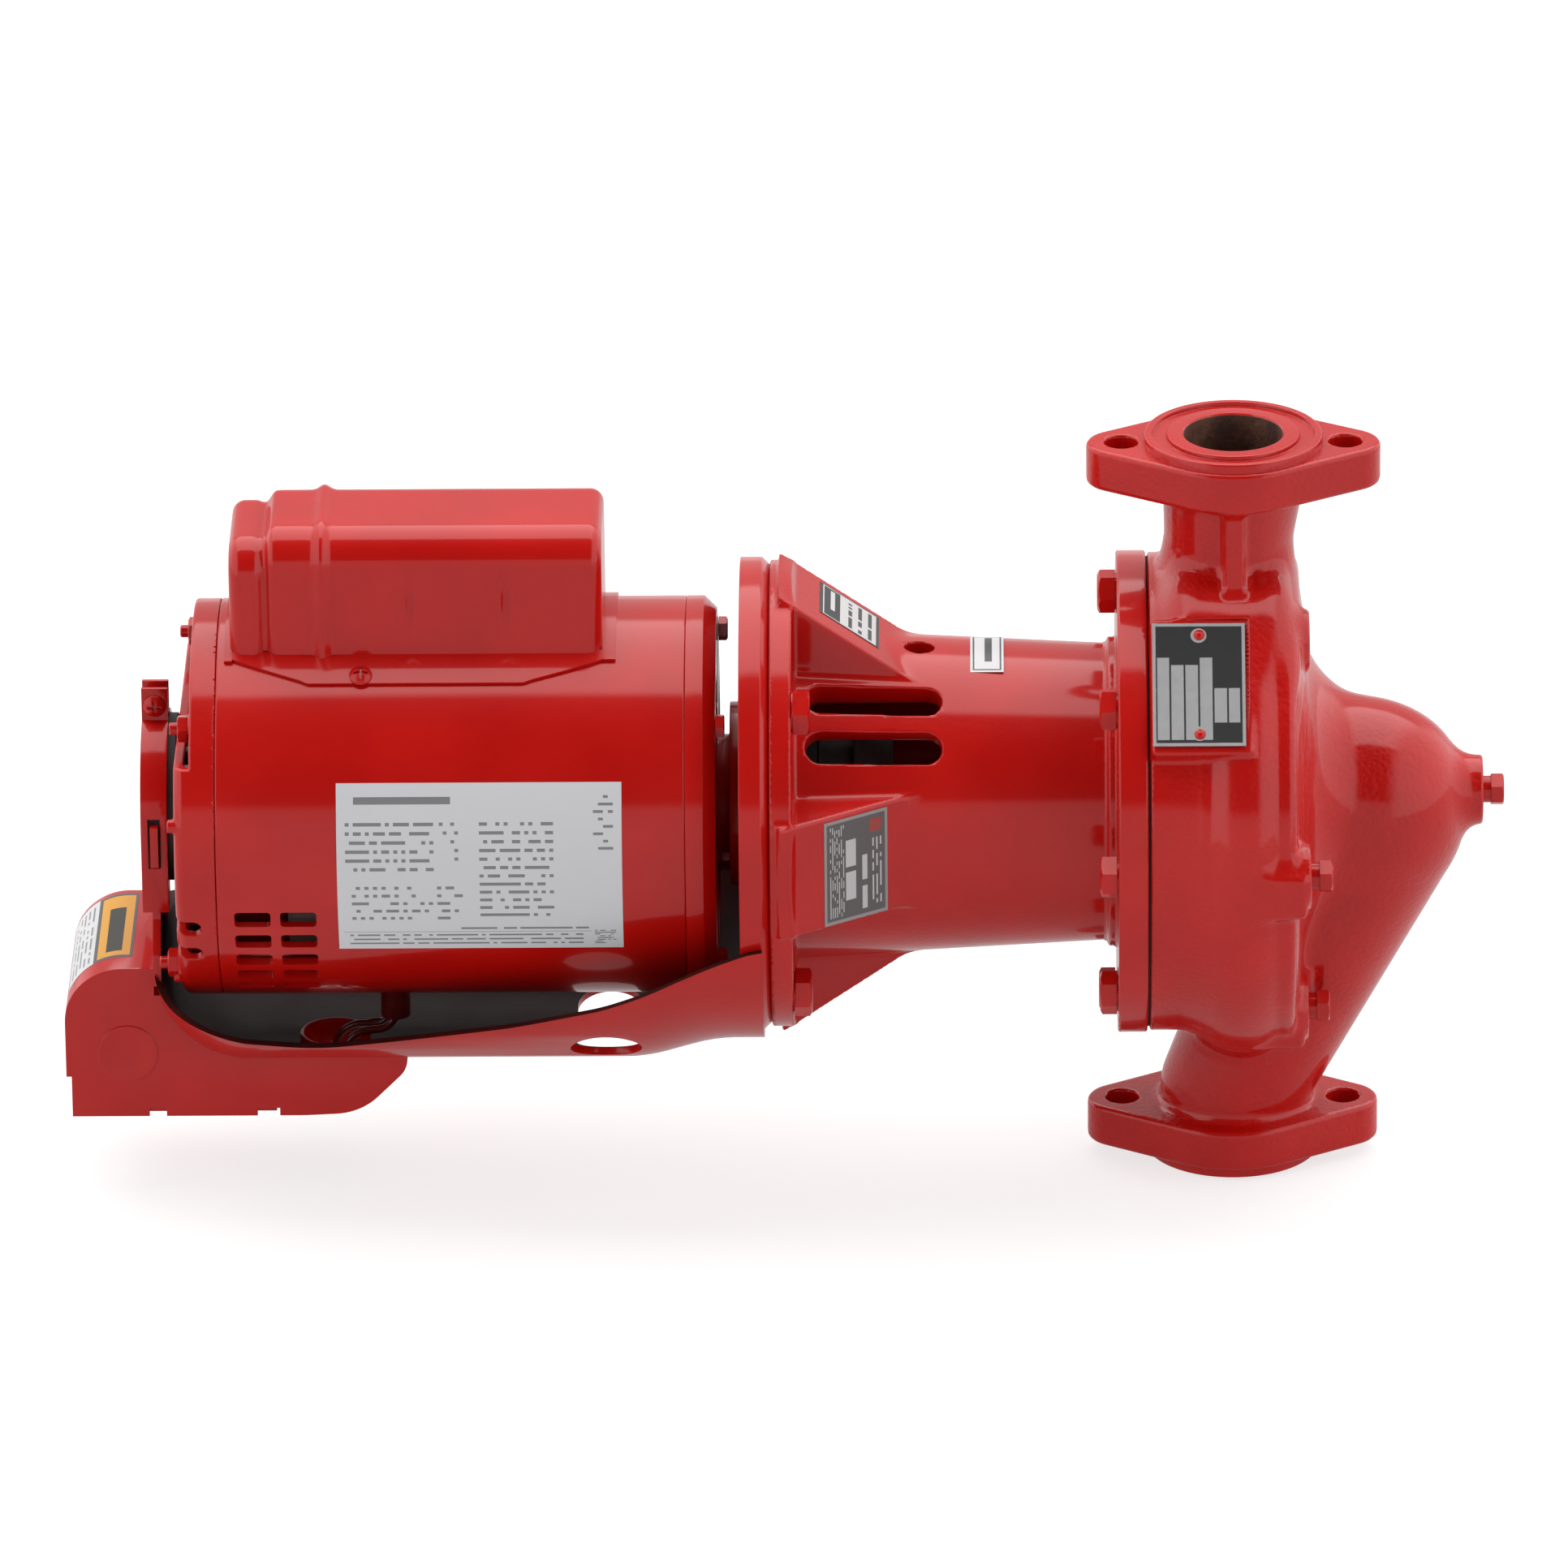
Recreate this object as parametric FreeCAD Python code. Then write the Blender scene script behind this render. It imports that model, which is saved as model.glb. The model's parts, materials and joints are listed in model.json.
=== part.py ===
import FreeCAD, Part
import math
import os

# In-line booster circulator pump: a resilient-mounted induction motor, a cast bearing bracket and a cast
# volute casing. The shaft runs along X, the pipe runs along Z through X = 0, Y = 0, and +Z is up.
# Shapes are modelled about the shaft, where Z = 0 is the shaft axis, and save() lifts them so that
# Z = 0 is the gasket face of the lower (suction) flange. The pump end points to +X and the motor to -X.
# Angles round the shaft start at the front (-Y) and rise towards the top (+Z).

V = FreeCAD.Vector
ALONG_X, ALONG_Y, ALONG_Z = V(1, 0, 0), V(0, 1, 0), V(0, 0, 1)

# --- pipe connections ---
FACE_TO_FACE = 292.0          # between the two gasket faces
SHAFT_HEIGHT = FACE_TO_FACE / 2
PORT_RADIUS = 19.0
PORT_STRAIGHT = 22.0          # straight bore behind each gasket face
PASSAGE_RADIUS = 18.5
FLANGE_THICK = 16.0
FLANGE_MIDDLE_RADIUS = 35.5
FLANGE_EAR_RADIUS = 13.2
FLANGE_BOLT_SPACING = 84.0
FLANGE_BOLT_HOLE = 6.35
FACE_RADIUS = 33.3            # raised gasket boss
FACE_RAISE = 3.5
GASKET_GROOVE = (24.8, 30.6, 1.6)  # inner radius, outer radius, depth
NECK_RADIUS = 26.0

# --- stations along the shaft ---
CASING_FACE = -32.0
GASKET_THICK = 0.8
COVER_FACE = CASING_FACE - GASKET_THICK
COVER_BACK = -44.0
BRACKET_FLANGE_FRONT = -166.0
BRACKET_FLANGE_BACK = -174.6
PAN_DEPTH = 11.2
SHELL_FRONT = -206.0
SHELL_REAR = -382.0
FRONT_BELL_END = -194.8
REAR_BELL_END = -397.6
UPRIGHT_OUTSIDE = -408.4

# --- pump casing ---
CASING_RADIUS = 90.0
SCROLL_MAJOR, SCROLL_MINOR = 76.0, 21.0
SCROLL_STATION = 4.0
SCROLL_DROP = 2.7             # the scroll grows towards the bottom
CASING_WALL = 6.3
PASSAGE_WALL = 7.5
CASING_BACK = 25.0
EYE_RADIUS = 24.0
SPIGOT_RADIUS = 72.0
CASING_BOLT_CIRCLE = 81.8
BOLT_RADIUS = 4.76            # 3/8 inch
DOME_STATION, DOME_RADIUS = 53.0, 35.0
GAUGE_BOSS_RADIUS, GAUGE_BOSS_END = 13.1, 94.5
PIPE_THREAD_RADIUS = 5.1      # 1/8 inch pipe thread
TAPPING_CIRCLE = 82.0
TAPPING_BOSS_RADIUS, TAPPING_BOSS_END = 11.0, 28.0
TAPPING_ANGLES = (0, -60)
BLANK_BOSS_ANGLE = 70
PLATE_PAD_ANGLE, PLATE_PAD_HEIGHT, PLATE_END = 48, 93.4, 5.0
PLATE_LONG, PLATE_WIDE, PLATE_THICK = 51.0, 35.0, 0.6
RIVET_RADIUS, RIVET_PLACES, RIVET_STATION = 1.5, (-20.5, 20.5), -13.5
CASING_BOLT_HEAD = (14.3, 6.4)  # across flats, height
PLUG_ACROSS_FLATS, PLUG_STAND_OFF, PLUG_HEAD = 11.1, 3.0, 5.0
ELBOW = (  # centreline station, height and outer radius of the suction passage, from the flange up
    (0, -140, 26.0), (0, -124, 26.0), (4.5, -105, 26.0), (19, -76, 27.5), (35, -42, 32.5), (46, -14, 35.5),
)

# --- bearing bracket ---
COVER_RADIUS = 91.2
BRACKET_FLANGE_RADIUS = 88.3
BARREL_FRONT_RADIUS, BARREL_REAR_RADIUS = 56.0, 60.2
BARREL_BORE = 50.0
BARREL_SLOT = (-161.0, -110.0)  # access to the coupler screws
BARREL_SLOT_HALF = 6.0
BARREL_SLOT_ANGLES = (39, 58, 122, 141)
OIL_HOLE_STATION, OIL_HOLE_RADIUS = -118.2, 5.7
WEEP_HOLE_STATION, WEEP_HOLE_RADIUS = -54.0, 4.0
GUSSET_WIDTH, GUSSET_TIP, GUSSET_TOP = 45.0, -126.0, 86.2
BRACKET_BOLT_CIRCLE = 80.9
BRACKET_BOLT_HEAD = (15.9, 6.8)
BRACKET_NUT = (10.8, 7.0)
SNAP_RING_THICK = 1.6
BEARING_HUB_RADIUS = 30.0

# --- shafts and bearings (17 x 40 x 12 ball bearings) ---
SHAFT_RADIUS = 8.5
RACE_OUTSIDE, RACE_WIDTH = 20.0, 12.0
IMPELLER_BORE = 6.5
BALL_CIRCLE, BALL_RADIUS, BALL_COUNT = 14.25, 3.0, 8
PUMP_BEARINGS = (-102.0, -76.0)
MOTOR_BEARINGS = (-395.0, -209.0)
SEAL_SEAT_RADIUS = 16.0

# --- coupler ---
COUPLER_RADIUS = 27.0
COUPLER_MOTOR = (-172.0, -157.0)
COUPLER_PUMP = (-143.0, -128.5)
JAW_INSIDE, JAW_OUTSIDE, JAW_HALF_ANGLE = 12.0, 24.0, 15.0
SET_SCREW_RADIUS = 3.2

# --- motor ---
MOTOR_RADIUS, SHELL_WALL = 75.0, 3.0
STATOR_BORE, ROTOR_RADIUS = 40.5, 40.0
STACK = (-332.0, -256.0)
TIE_BOLT_CIRCLE, TIE_BOLT_RADIUS = 67.5, 2.4
RING_HUB_RADIUS, RUBBER_RADIUS = 22.5, 31.8
FRONT_HUB_END, REAR_HUB_END = -179.0, -411.0
FRONT_RING = (-190.0, -178.0)
REAR_RING = (-411.5, -399.0)
SLOT_COUNT, SLOT_WIDTH, SLOT_INSIDE, SLOT_OUTSIDE = 24, 4.4, 44.0, 60.0
END_TURN = 24.0
VENT_COLUMNS = (-368.7, -351.5)
VENT_ANGLES = (-15.4, -23.8, -32.3, -40.8, -49.3)
VENT_LENGTH, VENT_HEIGHT = 13.6, 6.6
BELL_NOTCH_ANGLES = (-19, -29.5, 199, 209.5)
GOVERNOR_DISC, GOVERNOR_COLLAR = (-366.0, -358.0), (-375.0, -370.0)
COLLAR_BORE = 8.56
SWITCH_BOARD = (-379.0, -377.4)
FAN_HUB, FAN_RADIUS = (-229.0, -213.0), 58.0

# --- cradle ---
SHEET = 3.0
PAN_RADIUS = 89.5
TROUGH_RADIUS = 99.4
BEND_RADIUS = 36.0
TRAY_EDGE = (  # side view of the upper edge: station, height, rounding
    (-420, -40, 0), (-405, -62, 20), (-372, -73, 20), (-346, -77.5, 60), (-272, -62.6, 120),
    (-238, -52.7, 60), (-211, -40.4, 60), (-183, -28.7, 20), (-170, -26, 0),
)
TRAY_HOLE_STATION, TRAY_HOLE_RADIUS, TRAY_HOLE_ANGLES = -237.0, 13.5, (-128, -52)
OBROUND_RADIUS, OBROUND_SPREAD, OBROUND_HALF = 12.5, 10, 17.0
STRAP = 1.8
STRAP_ENDS = (-412.0, -402.0)
STRAP_FOOT, EAR_TOP, EAR_GAP = -33.5, 46.0, 3.0
STRAP_SCREW_HEIGHT, STRAP_SCREW_RADIUS = 39.0, 2.1
STRAP_SLOT_WIDTH, STRAP_SLOT_BOTTOM = 4.6, -15.5

# --- capacitor cover and junction box ---
COVER_ENDS = (-376.6, -236.9)
COVER_HALF_WIDTH, COVER_FOOT, COVER_TOP, COVER_CORNER = 30.0, 60.0, 117.3, 14.0
COVER_SCREW_AT = -327.5
COVER_SCREW_ANGLES = (59.0, 121.0)
COVER_SCREW_RADIUS = 2.0
TAB_ANGLES = (56.5, 67.0)
CAPACITOR_RADIUS = 18.5
CAPACITOR_ENDS = (-352.0, -258.0)
THIN_SHEET = 1.2
BOX_HALF_DEPTH = 37.5
BOX_SHEET = 1.6
BOX_LEFT, BOX_TOP, BOX_BOTTOM, BOX_RIGHT = -442.5, -55.0, -116.0, -315.0
BUSHING_AT = (-341.0, -14.0)
BUSHING_RADIUS, BUSHING_WALL = 13.5, 1.4
BOX_SCREWS = (-430.0, -370.0)
LEAD_EXIT, LEAD_EXIT_RADIUS = (-318.0, -14.0), 5.6
LEAD_RADIUS = 1.5


def spot(angle, radius, x=0.0):
    """Point at an angle and radius round the shaft."""
    a = math.radians(angle)
    return V(x, -radius * math.cos(a), radius * math.sin(a))


def disc(x0, x1, radius, centre=(0.0, 0.0)):
    """Solid cylinder along X between two stations."""
    return Part.makeCylinder(radius, x1 - x0, V(x0, centre[0], centre[1]), ALONG_X)


def ring(x0, x1, outside, inside, centre=(0.0, 0.0)):
    return disc(x0, x1, outside, centre).cut(disc(x0 - 1, x1 + 1, inside, centre))


def turned(points):
    """Solid of revolution about the shaft from a closed outline of (station, radius) points."""
    corners = [V(x, 0, r) for x, r in points]
    face = Part.Face(Part.makePolygon(corners + corners[:1]))
    return face.revolve(V(0, 0, 0), ALONG_X, 360)


def prism(points, direction, place):
    """Extrudes a closed outline of 2D points; place() turns each point into a corner."""
    corners = [place(a, b) for a, b in points]
    return Part.Face(Part.makePolygon(corners + corners[:1])).extrude(direction)


def hexagon(x0, x1, across_flats, centre=(0.0, 0.0), turn=0.0):
    """Hexagonal prism along X."""
    r = across_flats / math.sqrt(3)
    corners = [
        (centre[0] + r * math.cos(math.radians(60 * i + turn)),
         centre[1] + r * math.sin(math.radians(60 * i + turn)))
        for i in range(6)
    ]
    return prism(corners, V(x1 - x0, 0, 0), lambda y, z: V(x0, y, z))


def fuse(shapes):
    whole = shapes[0]
    for shape in shapes[1:]:
        whole = whole.fuse(shape)
    merged = whole.removeSplitter()
    return merged if merged.isValid() and merged.Solids else whole


def cut(shape, tools):
    for tool in tools:
        shape = shape.cut(tool)
    return shape


def spun(shape, angle):
    """A copy turned about the shaft."""
    copy = shape.copy()
    copy.rotate(V(0, 0, 0), ALONG_X, -angle)
    return copy


def save(name, *shapes):
    """Writes one node; several shapes stay separate solids of that node."""
    solids = [s for shape in shapes for s in shape.Solids]
    whole = Part.makeCompound(solids) if len(solids) > 1 else solids[0]
    whole = whole.copy()
    whole.translate(V(0, 0, SHAFT_HEIGHT))
    bad = [s for s in whole.Solids if not s.isValid() or s.Volume <= 0]
    if bad:
        print(name, "has", len(bad), "bad solids")
    whole.exportStep(os.path.join("parts", name + ".step"))


# ---------------------------------------------------------------- pump end

def flange_plate(z):
    """Two-bolt oval flange: a middle circle and two ears joined by tangents."""
    reach = FLANGE_BOLT_SPACING / 2
    lean = math.acos((FLANGE_MIDDLE_RADIUS - FLANGE_EAR_RADIUS) / reach)
    parts = [Part.makeCylinder(FLANGE_MIDDLE_RADIUS, FLANGE_THICK, V(0, 0, z))]
    for side in (-1, 1):
        parts.append(Part.makeCylinder(FLANGE_EAR_RADIUS, FLANGE_THICK, V(side * reach, 0, z)))
        web = []
        for radius, centre, flip in (
            (FLANGE_MIDDLE_RADIUS, 0, 1), (FLANGE_EAR_RADIUS, reach, 1),
            (FLANGE_EAR_RADIUS, reach, -1), (FLANGE_MIDDLE_RADIUS, 0, -1),
        ):
            web.append((side * (centre + radius * math.cos(lean)), flip * radius * math.sin(lean)))
        parts.append(prism(web, V(0, 0, FLANGE_THICK), lambda x, y: V(x, y, z)))
    return fuse(parts)


def pipe_flange(up):
    """Flange with its raised gasket boss; up is 1 for the discharge at the top and -1 for the suction."""
    face = up * SHAFT_HEIGHT
    back = face - up * (FACE_RAISE + FLANGE_THICK)
    low = min(back, back + up * FLANGE_THICK)
    plate = flange_plate(low)
    boss = Part.makeCylinder(FACE_RADIUS, FACE_RAISE + 2, V(0, 0, face), V(0, 0, -up))
    return plate.fuse(boss)


def flange_cuts(up):
    face = up * SHAFT_HEIGHT
    inner, outer, depth = GASKET_GROOVE
    groove = Part.makeCylinder(outer, depth, V(0, 0, face), V(0, 0, -up))
    groove = groove.cut(Part.makeCylinder(inner, depth, V(0, 0, face), V(0, 0, -up)))
    tools = [groove, Part.makeCylinder(PORT_RADIUS, PORT_STRAIGHT, V(0, 0, face), V(0, 0, -up))]
    for side in (-1, 1):
        hole = V(side * FLANGE_BOLT_SPACING / 2, 0, face)
        tools.append(Part.makeCylinder(FLANGE_BOLT_HOLE, 40, hole, V(0, 0, -up)))
    return tools


def elbow(shrink, start=0):
    """Lofted suction passage: shrink 0 gives the outside, and a wall thickness gives the waterway."""
    wires = []
    points = ELBOW[start:]
    for i, (x, z, r) in enumerate(points):
        x0, z0, _ = points[max(i - 1, 0)]
        x1, z1, _ = points[min(i + 1, len(points) - 1)]
        circle = Part.makeCircle(r - shrink, V(x, 0, z), V(x1 - x0, 0, z1 - z0))
        wires.append(Part.Wire([circle]))
    return Part.makeLoft(wires, True, False)


def make_casing():
    neck_top = SHAFT_HEIGHT - FACE_RAISE - FLANGE_THICK / 2
    scroll_centre = V(SCROLL_STATION, 0, -SCROLL_DROP)
    body = [
        disc(CASING_FACE, SCROLL_STATION + 6, CASING_RADIUS),
        Part.makeTorus(SCROLL_MAJOR, SCROLL_MINOR, scroll_centre, ALONG_X),
        disc(SCROLL_STATION, CASING_BACK, SCROLL_MAJOR),
        Part.makeCylinder(NECK_RADIUS, neck_top - 60, V(0, 0, 60)),
        Part.makeCone(NECK_RADIUS, NECK_RADIUS + 5, 8, V(0, 0, neck_top - 16)),
        pipe_flange(1), pipe_flange(-1),
        elbow(0),
        Part.makeSphere(DOME_RADIUS, V(DOME_STATION, 0, 0)),
        disc(DOME_STATION, GAUGE_BOSS_END, GAUGE_BOSS_RADIUS),
        Part.makeCone(52, 36, 18, V(CASING_BACK - 2, 0, 0), ALONG_X),
    ]
    for angle in TAPPING_ANGLES + (BLANK_BOSS_ANGLE,):
        p = spot(angle, TAPPING_CIRCLE)
        body.append(disc(-6, TAPPING_BOSS_END, TAPPING_BOSS_RADIUS, (p.y, p.z)))
    half_pad = PLATE_LONG / 2 + 0.5
    pad = prism(
        [(-PLATE_PAD_HEIGHT, -half_pad), (-PLATE_PAD_HEIGHT, half_pad), (-60, half_pad), (-60, -half_pad)],
        V(PLATE_END - CASING_FACE, 0, 0), lambda y, z: V(CASING_FACE, y, z))
    body.append(spun(pad, PLATE_PAD_ANGLE))
    rib = prism(
        [(-33, 95), (-33, 128), (-20, 128), (-20, 80), (-27, 80)], V(7, 0, 0), lambda y, z: V(-1, y, z))
    body.append(rib)
    casing = fuse(body)
    wet_face = CASING_BACK - CASING_WALL
    chamber = turned([
        (CASING_FACE - 1, 0), (CASING_FACE - 1, SPIGOT_RADIUS), (-9.5, SPIGOT_RADIUS), (-7, 79), (-1, 84.5),
        (6, 85.5), (12, 83), (16.5, 77), (wet_face, 70), (wet_face, EYE_RADIUS),
        (DOME_STATION + 1, EYE_RADIUS), (DOME_STATION + 1, 0)])
    waterways = [
        Part.makeCylinder(PASSAGE_RADIUS, 80, V(0, 0, 62)),
        elbow(PASSAGE_WALL, 1),
        Part.makeSphere(DOME_RADIUS - PASSAGE_WALL, V(DOME_STATION, 0, 0)),
    ]
    corner = V(CASING_FACE - 2, -PLATE_PAD_HEIGHT - 20, -half_pad - 0.5)
    flat = spun(Part.makeBox(PLATE_END - CASING_FACE + 2, 20, 2 * half_pad + 1, corner), PLATE_PAD_ANGLE)
    casing = cut(casing, [chamber] + waterways + flange_cuts(1) + flange_cuts(-1) + [flat])
    for p in around(8, CASING_BOLT_CIRCLE, 0):
        casing = casing.cut(disc(CASING_FACE - 1, CASING_FACE + 20, BOLT_RADIUS, (p.y, p.z)))
    for angle in TAPPING_ANGLES:
        p = spot(angle, TAPPING_CIRCLE)
        casing = casing.cut(disc(12, 40, PIPE_THREAD_RADIUS, (p.y, p.z)))
    casing = casing.cut(disc(DOME_STATION, 100, PIPE_THREAD_RADIUS))
    for z in RIVET_PLACES:
        pin = Part.makeCylinder(RIVET_RADIUS, 8, V(RIVET_STATION, -PLATE_PAD_HEIGHT - 1, z), ALONG_Y)
        casing = casing.cut(spun(pin, PLATE_PAD_ANGLE))
    save("casing", casing)


def around(count, radius, first, x=0.0):
    return [spot(first + 360.0 * i / count, radius, x) for i in range(count)]


def make_casing_gasket():
    gasket = ring(COVER_FACE, CASING_FACE, CASING_RADIUS - 1, SPIGOT_RADIUS + 0.5)
    for p in around(8, CASING_BOLT_CIRCLE, 0):
        gasket = gasket.cut(disc(COVER_FACE - 1, CASING_FACE + 1, BOLT_RADIUS + 0.2, (p.y, p.z)))
    save("casing_gasket", gasket)


def pipe_plug(face, centre):
    """1/8 inch hexagon-headed pipe plug screwed in up to a boss face."""
    thread = disc(face - 9, face + PLUG_STAND_OFF, PIPE_THREAD_RADIUS, centre)
    x0, x1 = face + PLUG_STAND_OFF, face + PLUG_STAND_OFF + PLUG_HEAD
    head = hexagon(x0, x1, PLUG_ACROSS_FLATS, centre, 30)
    return fuse([thread, head.common(chamfer_tool(x0, x1, PLUG_ACROSS_FLATS * 0.595, centre, True))])


def chamfer_tool(x0, x1, radius, centre, towards_plus):
    """Turned blank that takes the corners off a hexagon at one end."""
    bevel = radius * 0.12
    if towards_plus:
        parts = [disc(x0, x1 - bevel, radius, centre),
                 Part.makeCone(radius, radius - bevel * 1.7, bevel, V(x1 - bevel, *centre), ALONG_X)]
    else:
        parts = [disc(x0 + bevel, x1, radius, centre),
                 Part.makeCone(radius - bevel * 1.7, radius, bevel, V(x0, *centre), ALONG_X)]
    return fuse(parts)


def make_pipe_plugs():
    plugs = [pipe_plug(GAUGE_BOSS_END, (0.0, 0.0))]
    for angle in TAPPING_ANGLES:
        p = spot(angle, TAPPING_CIRCLE)
        plugs.append(pipe_plug(TAPPING_BOSS_END, (p.y, p.z)))
    save("pipe_plugs", *plugs)


def hex_bolt(head_face, tip, across_flats, head_height, p):
    """Bolt along X; the head sits against head_face and the shank runs to tip."""
    centre = (p.y, p.z)
    away = 1 if head_face > tip else -1
    top = head_face + away * head_height
    x0, x1 = min(head_face, top), max(head_face, top)
    blank = chamfer_tool(x0, x1, across_flats / math.sqrt(3), centre, away > 0)
    head = hexagon(x0, x1, across_flats, centre, 15).common(blank)
    shank = disc(min(head_face, tip), max(head_face, tip), BOLT_RADIUS, centre)
    return fuse([head, shank])


def make_casing_bolts():
    places = around(8, CASING_BOLT_CIRCLE, 0)
    save("casing_bolts", *[hex_bolt(COVER_BACK, CASING_FACE + 18, *CASING_BOLT_HEAD, p) for p in places])


def make_impeller():
    back = disc(-6, -3, 62)
    skirt = EYE_RADIUS - 0.3
    front = turned([(10, 62), (7, 62), (7, 20), (24.5, 20), (24.5, skirt), (12, skirt), (11, 32)])
    hub = turned([(-9, 0), (-9, 13), (-3, 13), (6, 11), (9, 10.5), (9, 0)])
    vanes = []
    for i in range(6):
        arc = ring(-3, 7, 44, 41.5, (0.0, 34.0))
        keep = Part.makeBox(12, 70, 140, V(-4, 0, -70))
        vane = arc.common(keep).common(ring(-4, 8, 61.8, 17))
        vanes.append(spun(vane, 60 * i))
    wheel = fuse([back, front, hub] + vanes).cut(disc(-10, 12, IMPELLER_BORE))
    save("impeller", wheel)


def make_impeller_nut():
    washer = ring(9, 10.6, 9.5, IMPELLER_BORE)
    nut = hexagon(10.6, 18, 16).common(chamfer_tool(10.6, 18, 9.2, (0.0, 0.0), True))
    save("impeller_nut", washer.fuse(nut.cut(disc(9, 19, IMPELLER_BORE))))


def make_seal():
    save("seal_seat", ring(-34, -27, SEAL_SEAT_RADIUS, 9.6))
    head = turned(
        [(-26.7, 9.6), (-26.7, 13), (-23, 14), (-21, 14), (-21, SHAFT_RADIUS), (-26, SHAFT_RADIUS)])
    save("seal_head", head)
    outline = [(-20.7, 10.4), (-20.7, 12)]
    for i in range(4):
        outline += [(-19.4 + 2.5 * i, 13.4), (-18.2 + 2.5 * i, 11.8)]
    save("seal_spring", turned(outline + [(-10, 14), (-9, 14), (-9, 9), (-10, 9), (-10.6, 10.4)]))


def make_pump_shaft():
    shaft = fuse([
        disc(COUPLER_PUMP[0], -9, SHAFT_RADIUS),
        disc(-9, 20, IMPELLER_BORE),
        disc(PUMP_BEARINGS[0] + RACE_WIDTH, PUMP_BEARINGS[1], 11),
    ])
    save("pump_shaft", shaft)
    save("slinger", ring(-57, -54, 13.5, SHAFT_RADIUS))
    clip = PUMP_BEARINGS[0] - SNAP_RING_THICK
    save("bearing_snap_ring", ring(clip, PUMP_BEARINGS[0], RACE_OUTSIDE + 1.2, 17).cut(
        Part.makeBox(6, 8, 30, V(clip - 1, -4, 5))))


def ball_bearings(stations, name):
    outer, inner, balls = [], [], []
    for x in stations:
        mid = x + RACE_WIDTH / 2
        groove = Part.makeTorus(BALL_CIRCLE, BALL_RADIUS + 0.05, V(mid, 0, 0), ALONG_X)
        outer.append(ring(x, x + RACE_WIDTH, RACE_OUTSIDE, 16.6).cut(groove))
        inner.append(ring(x, x + RACE_WIDTH, 12.0, SHAFT_RADIUS).cut(groove))
        balls += [Part.makeSphere(BALL_RADIUS, p) for p in around(BALL_COUNT, BALL_CIRCLE, 0, mid)]
    save(name + "_bearing_outer_races", *outer)
    save(name + "_bearing_inner_races", *inner)
    save(name + "_bearing_balls", *balls)


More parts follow.
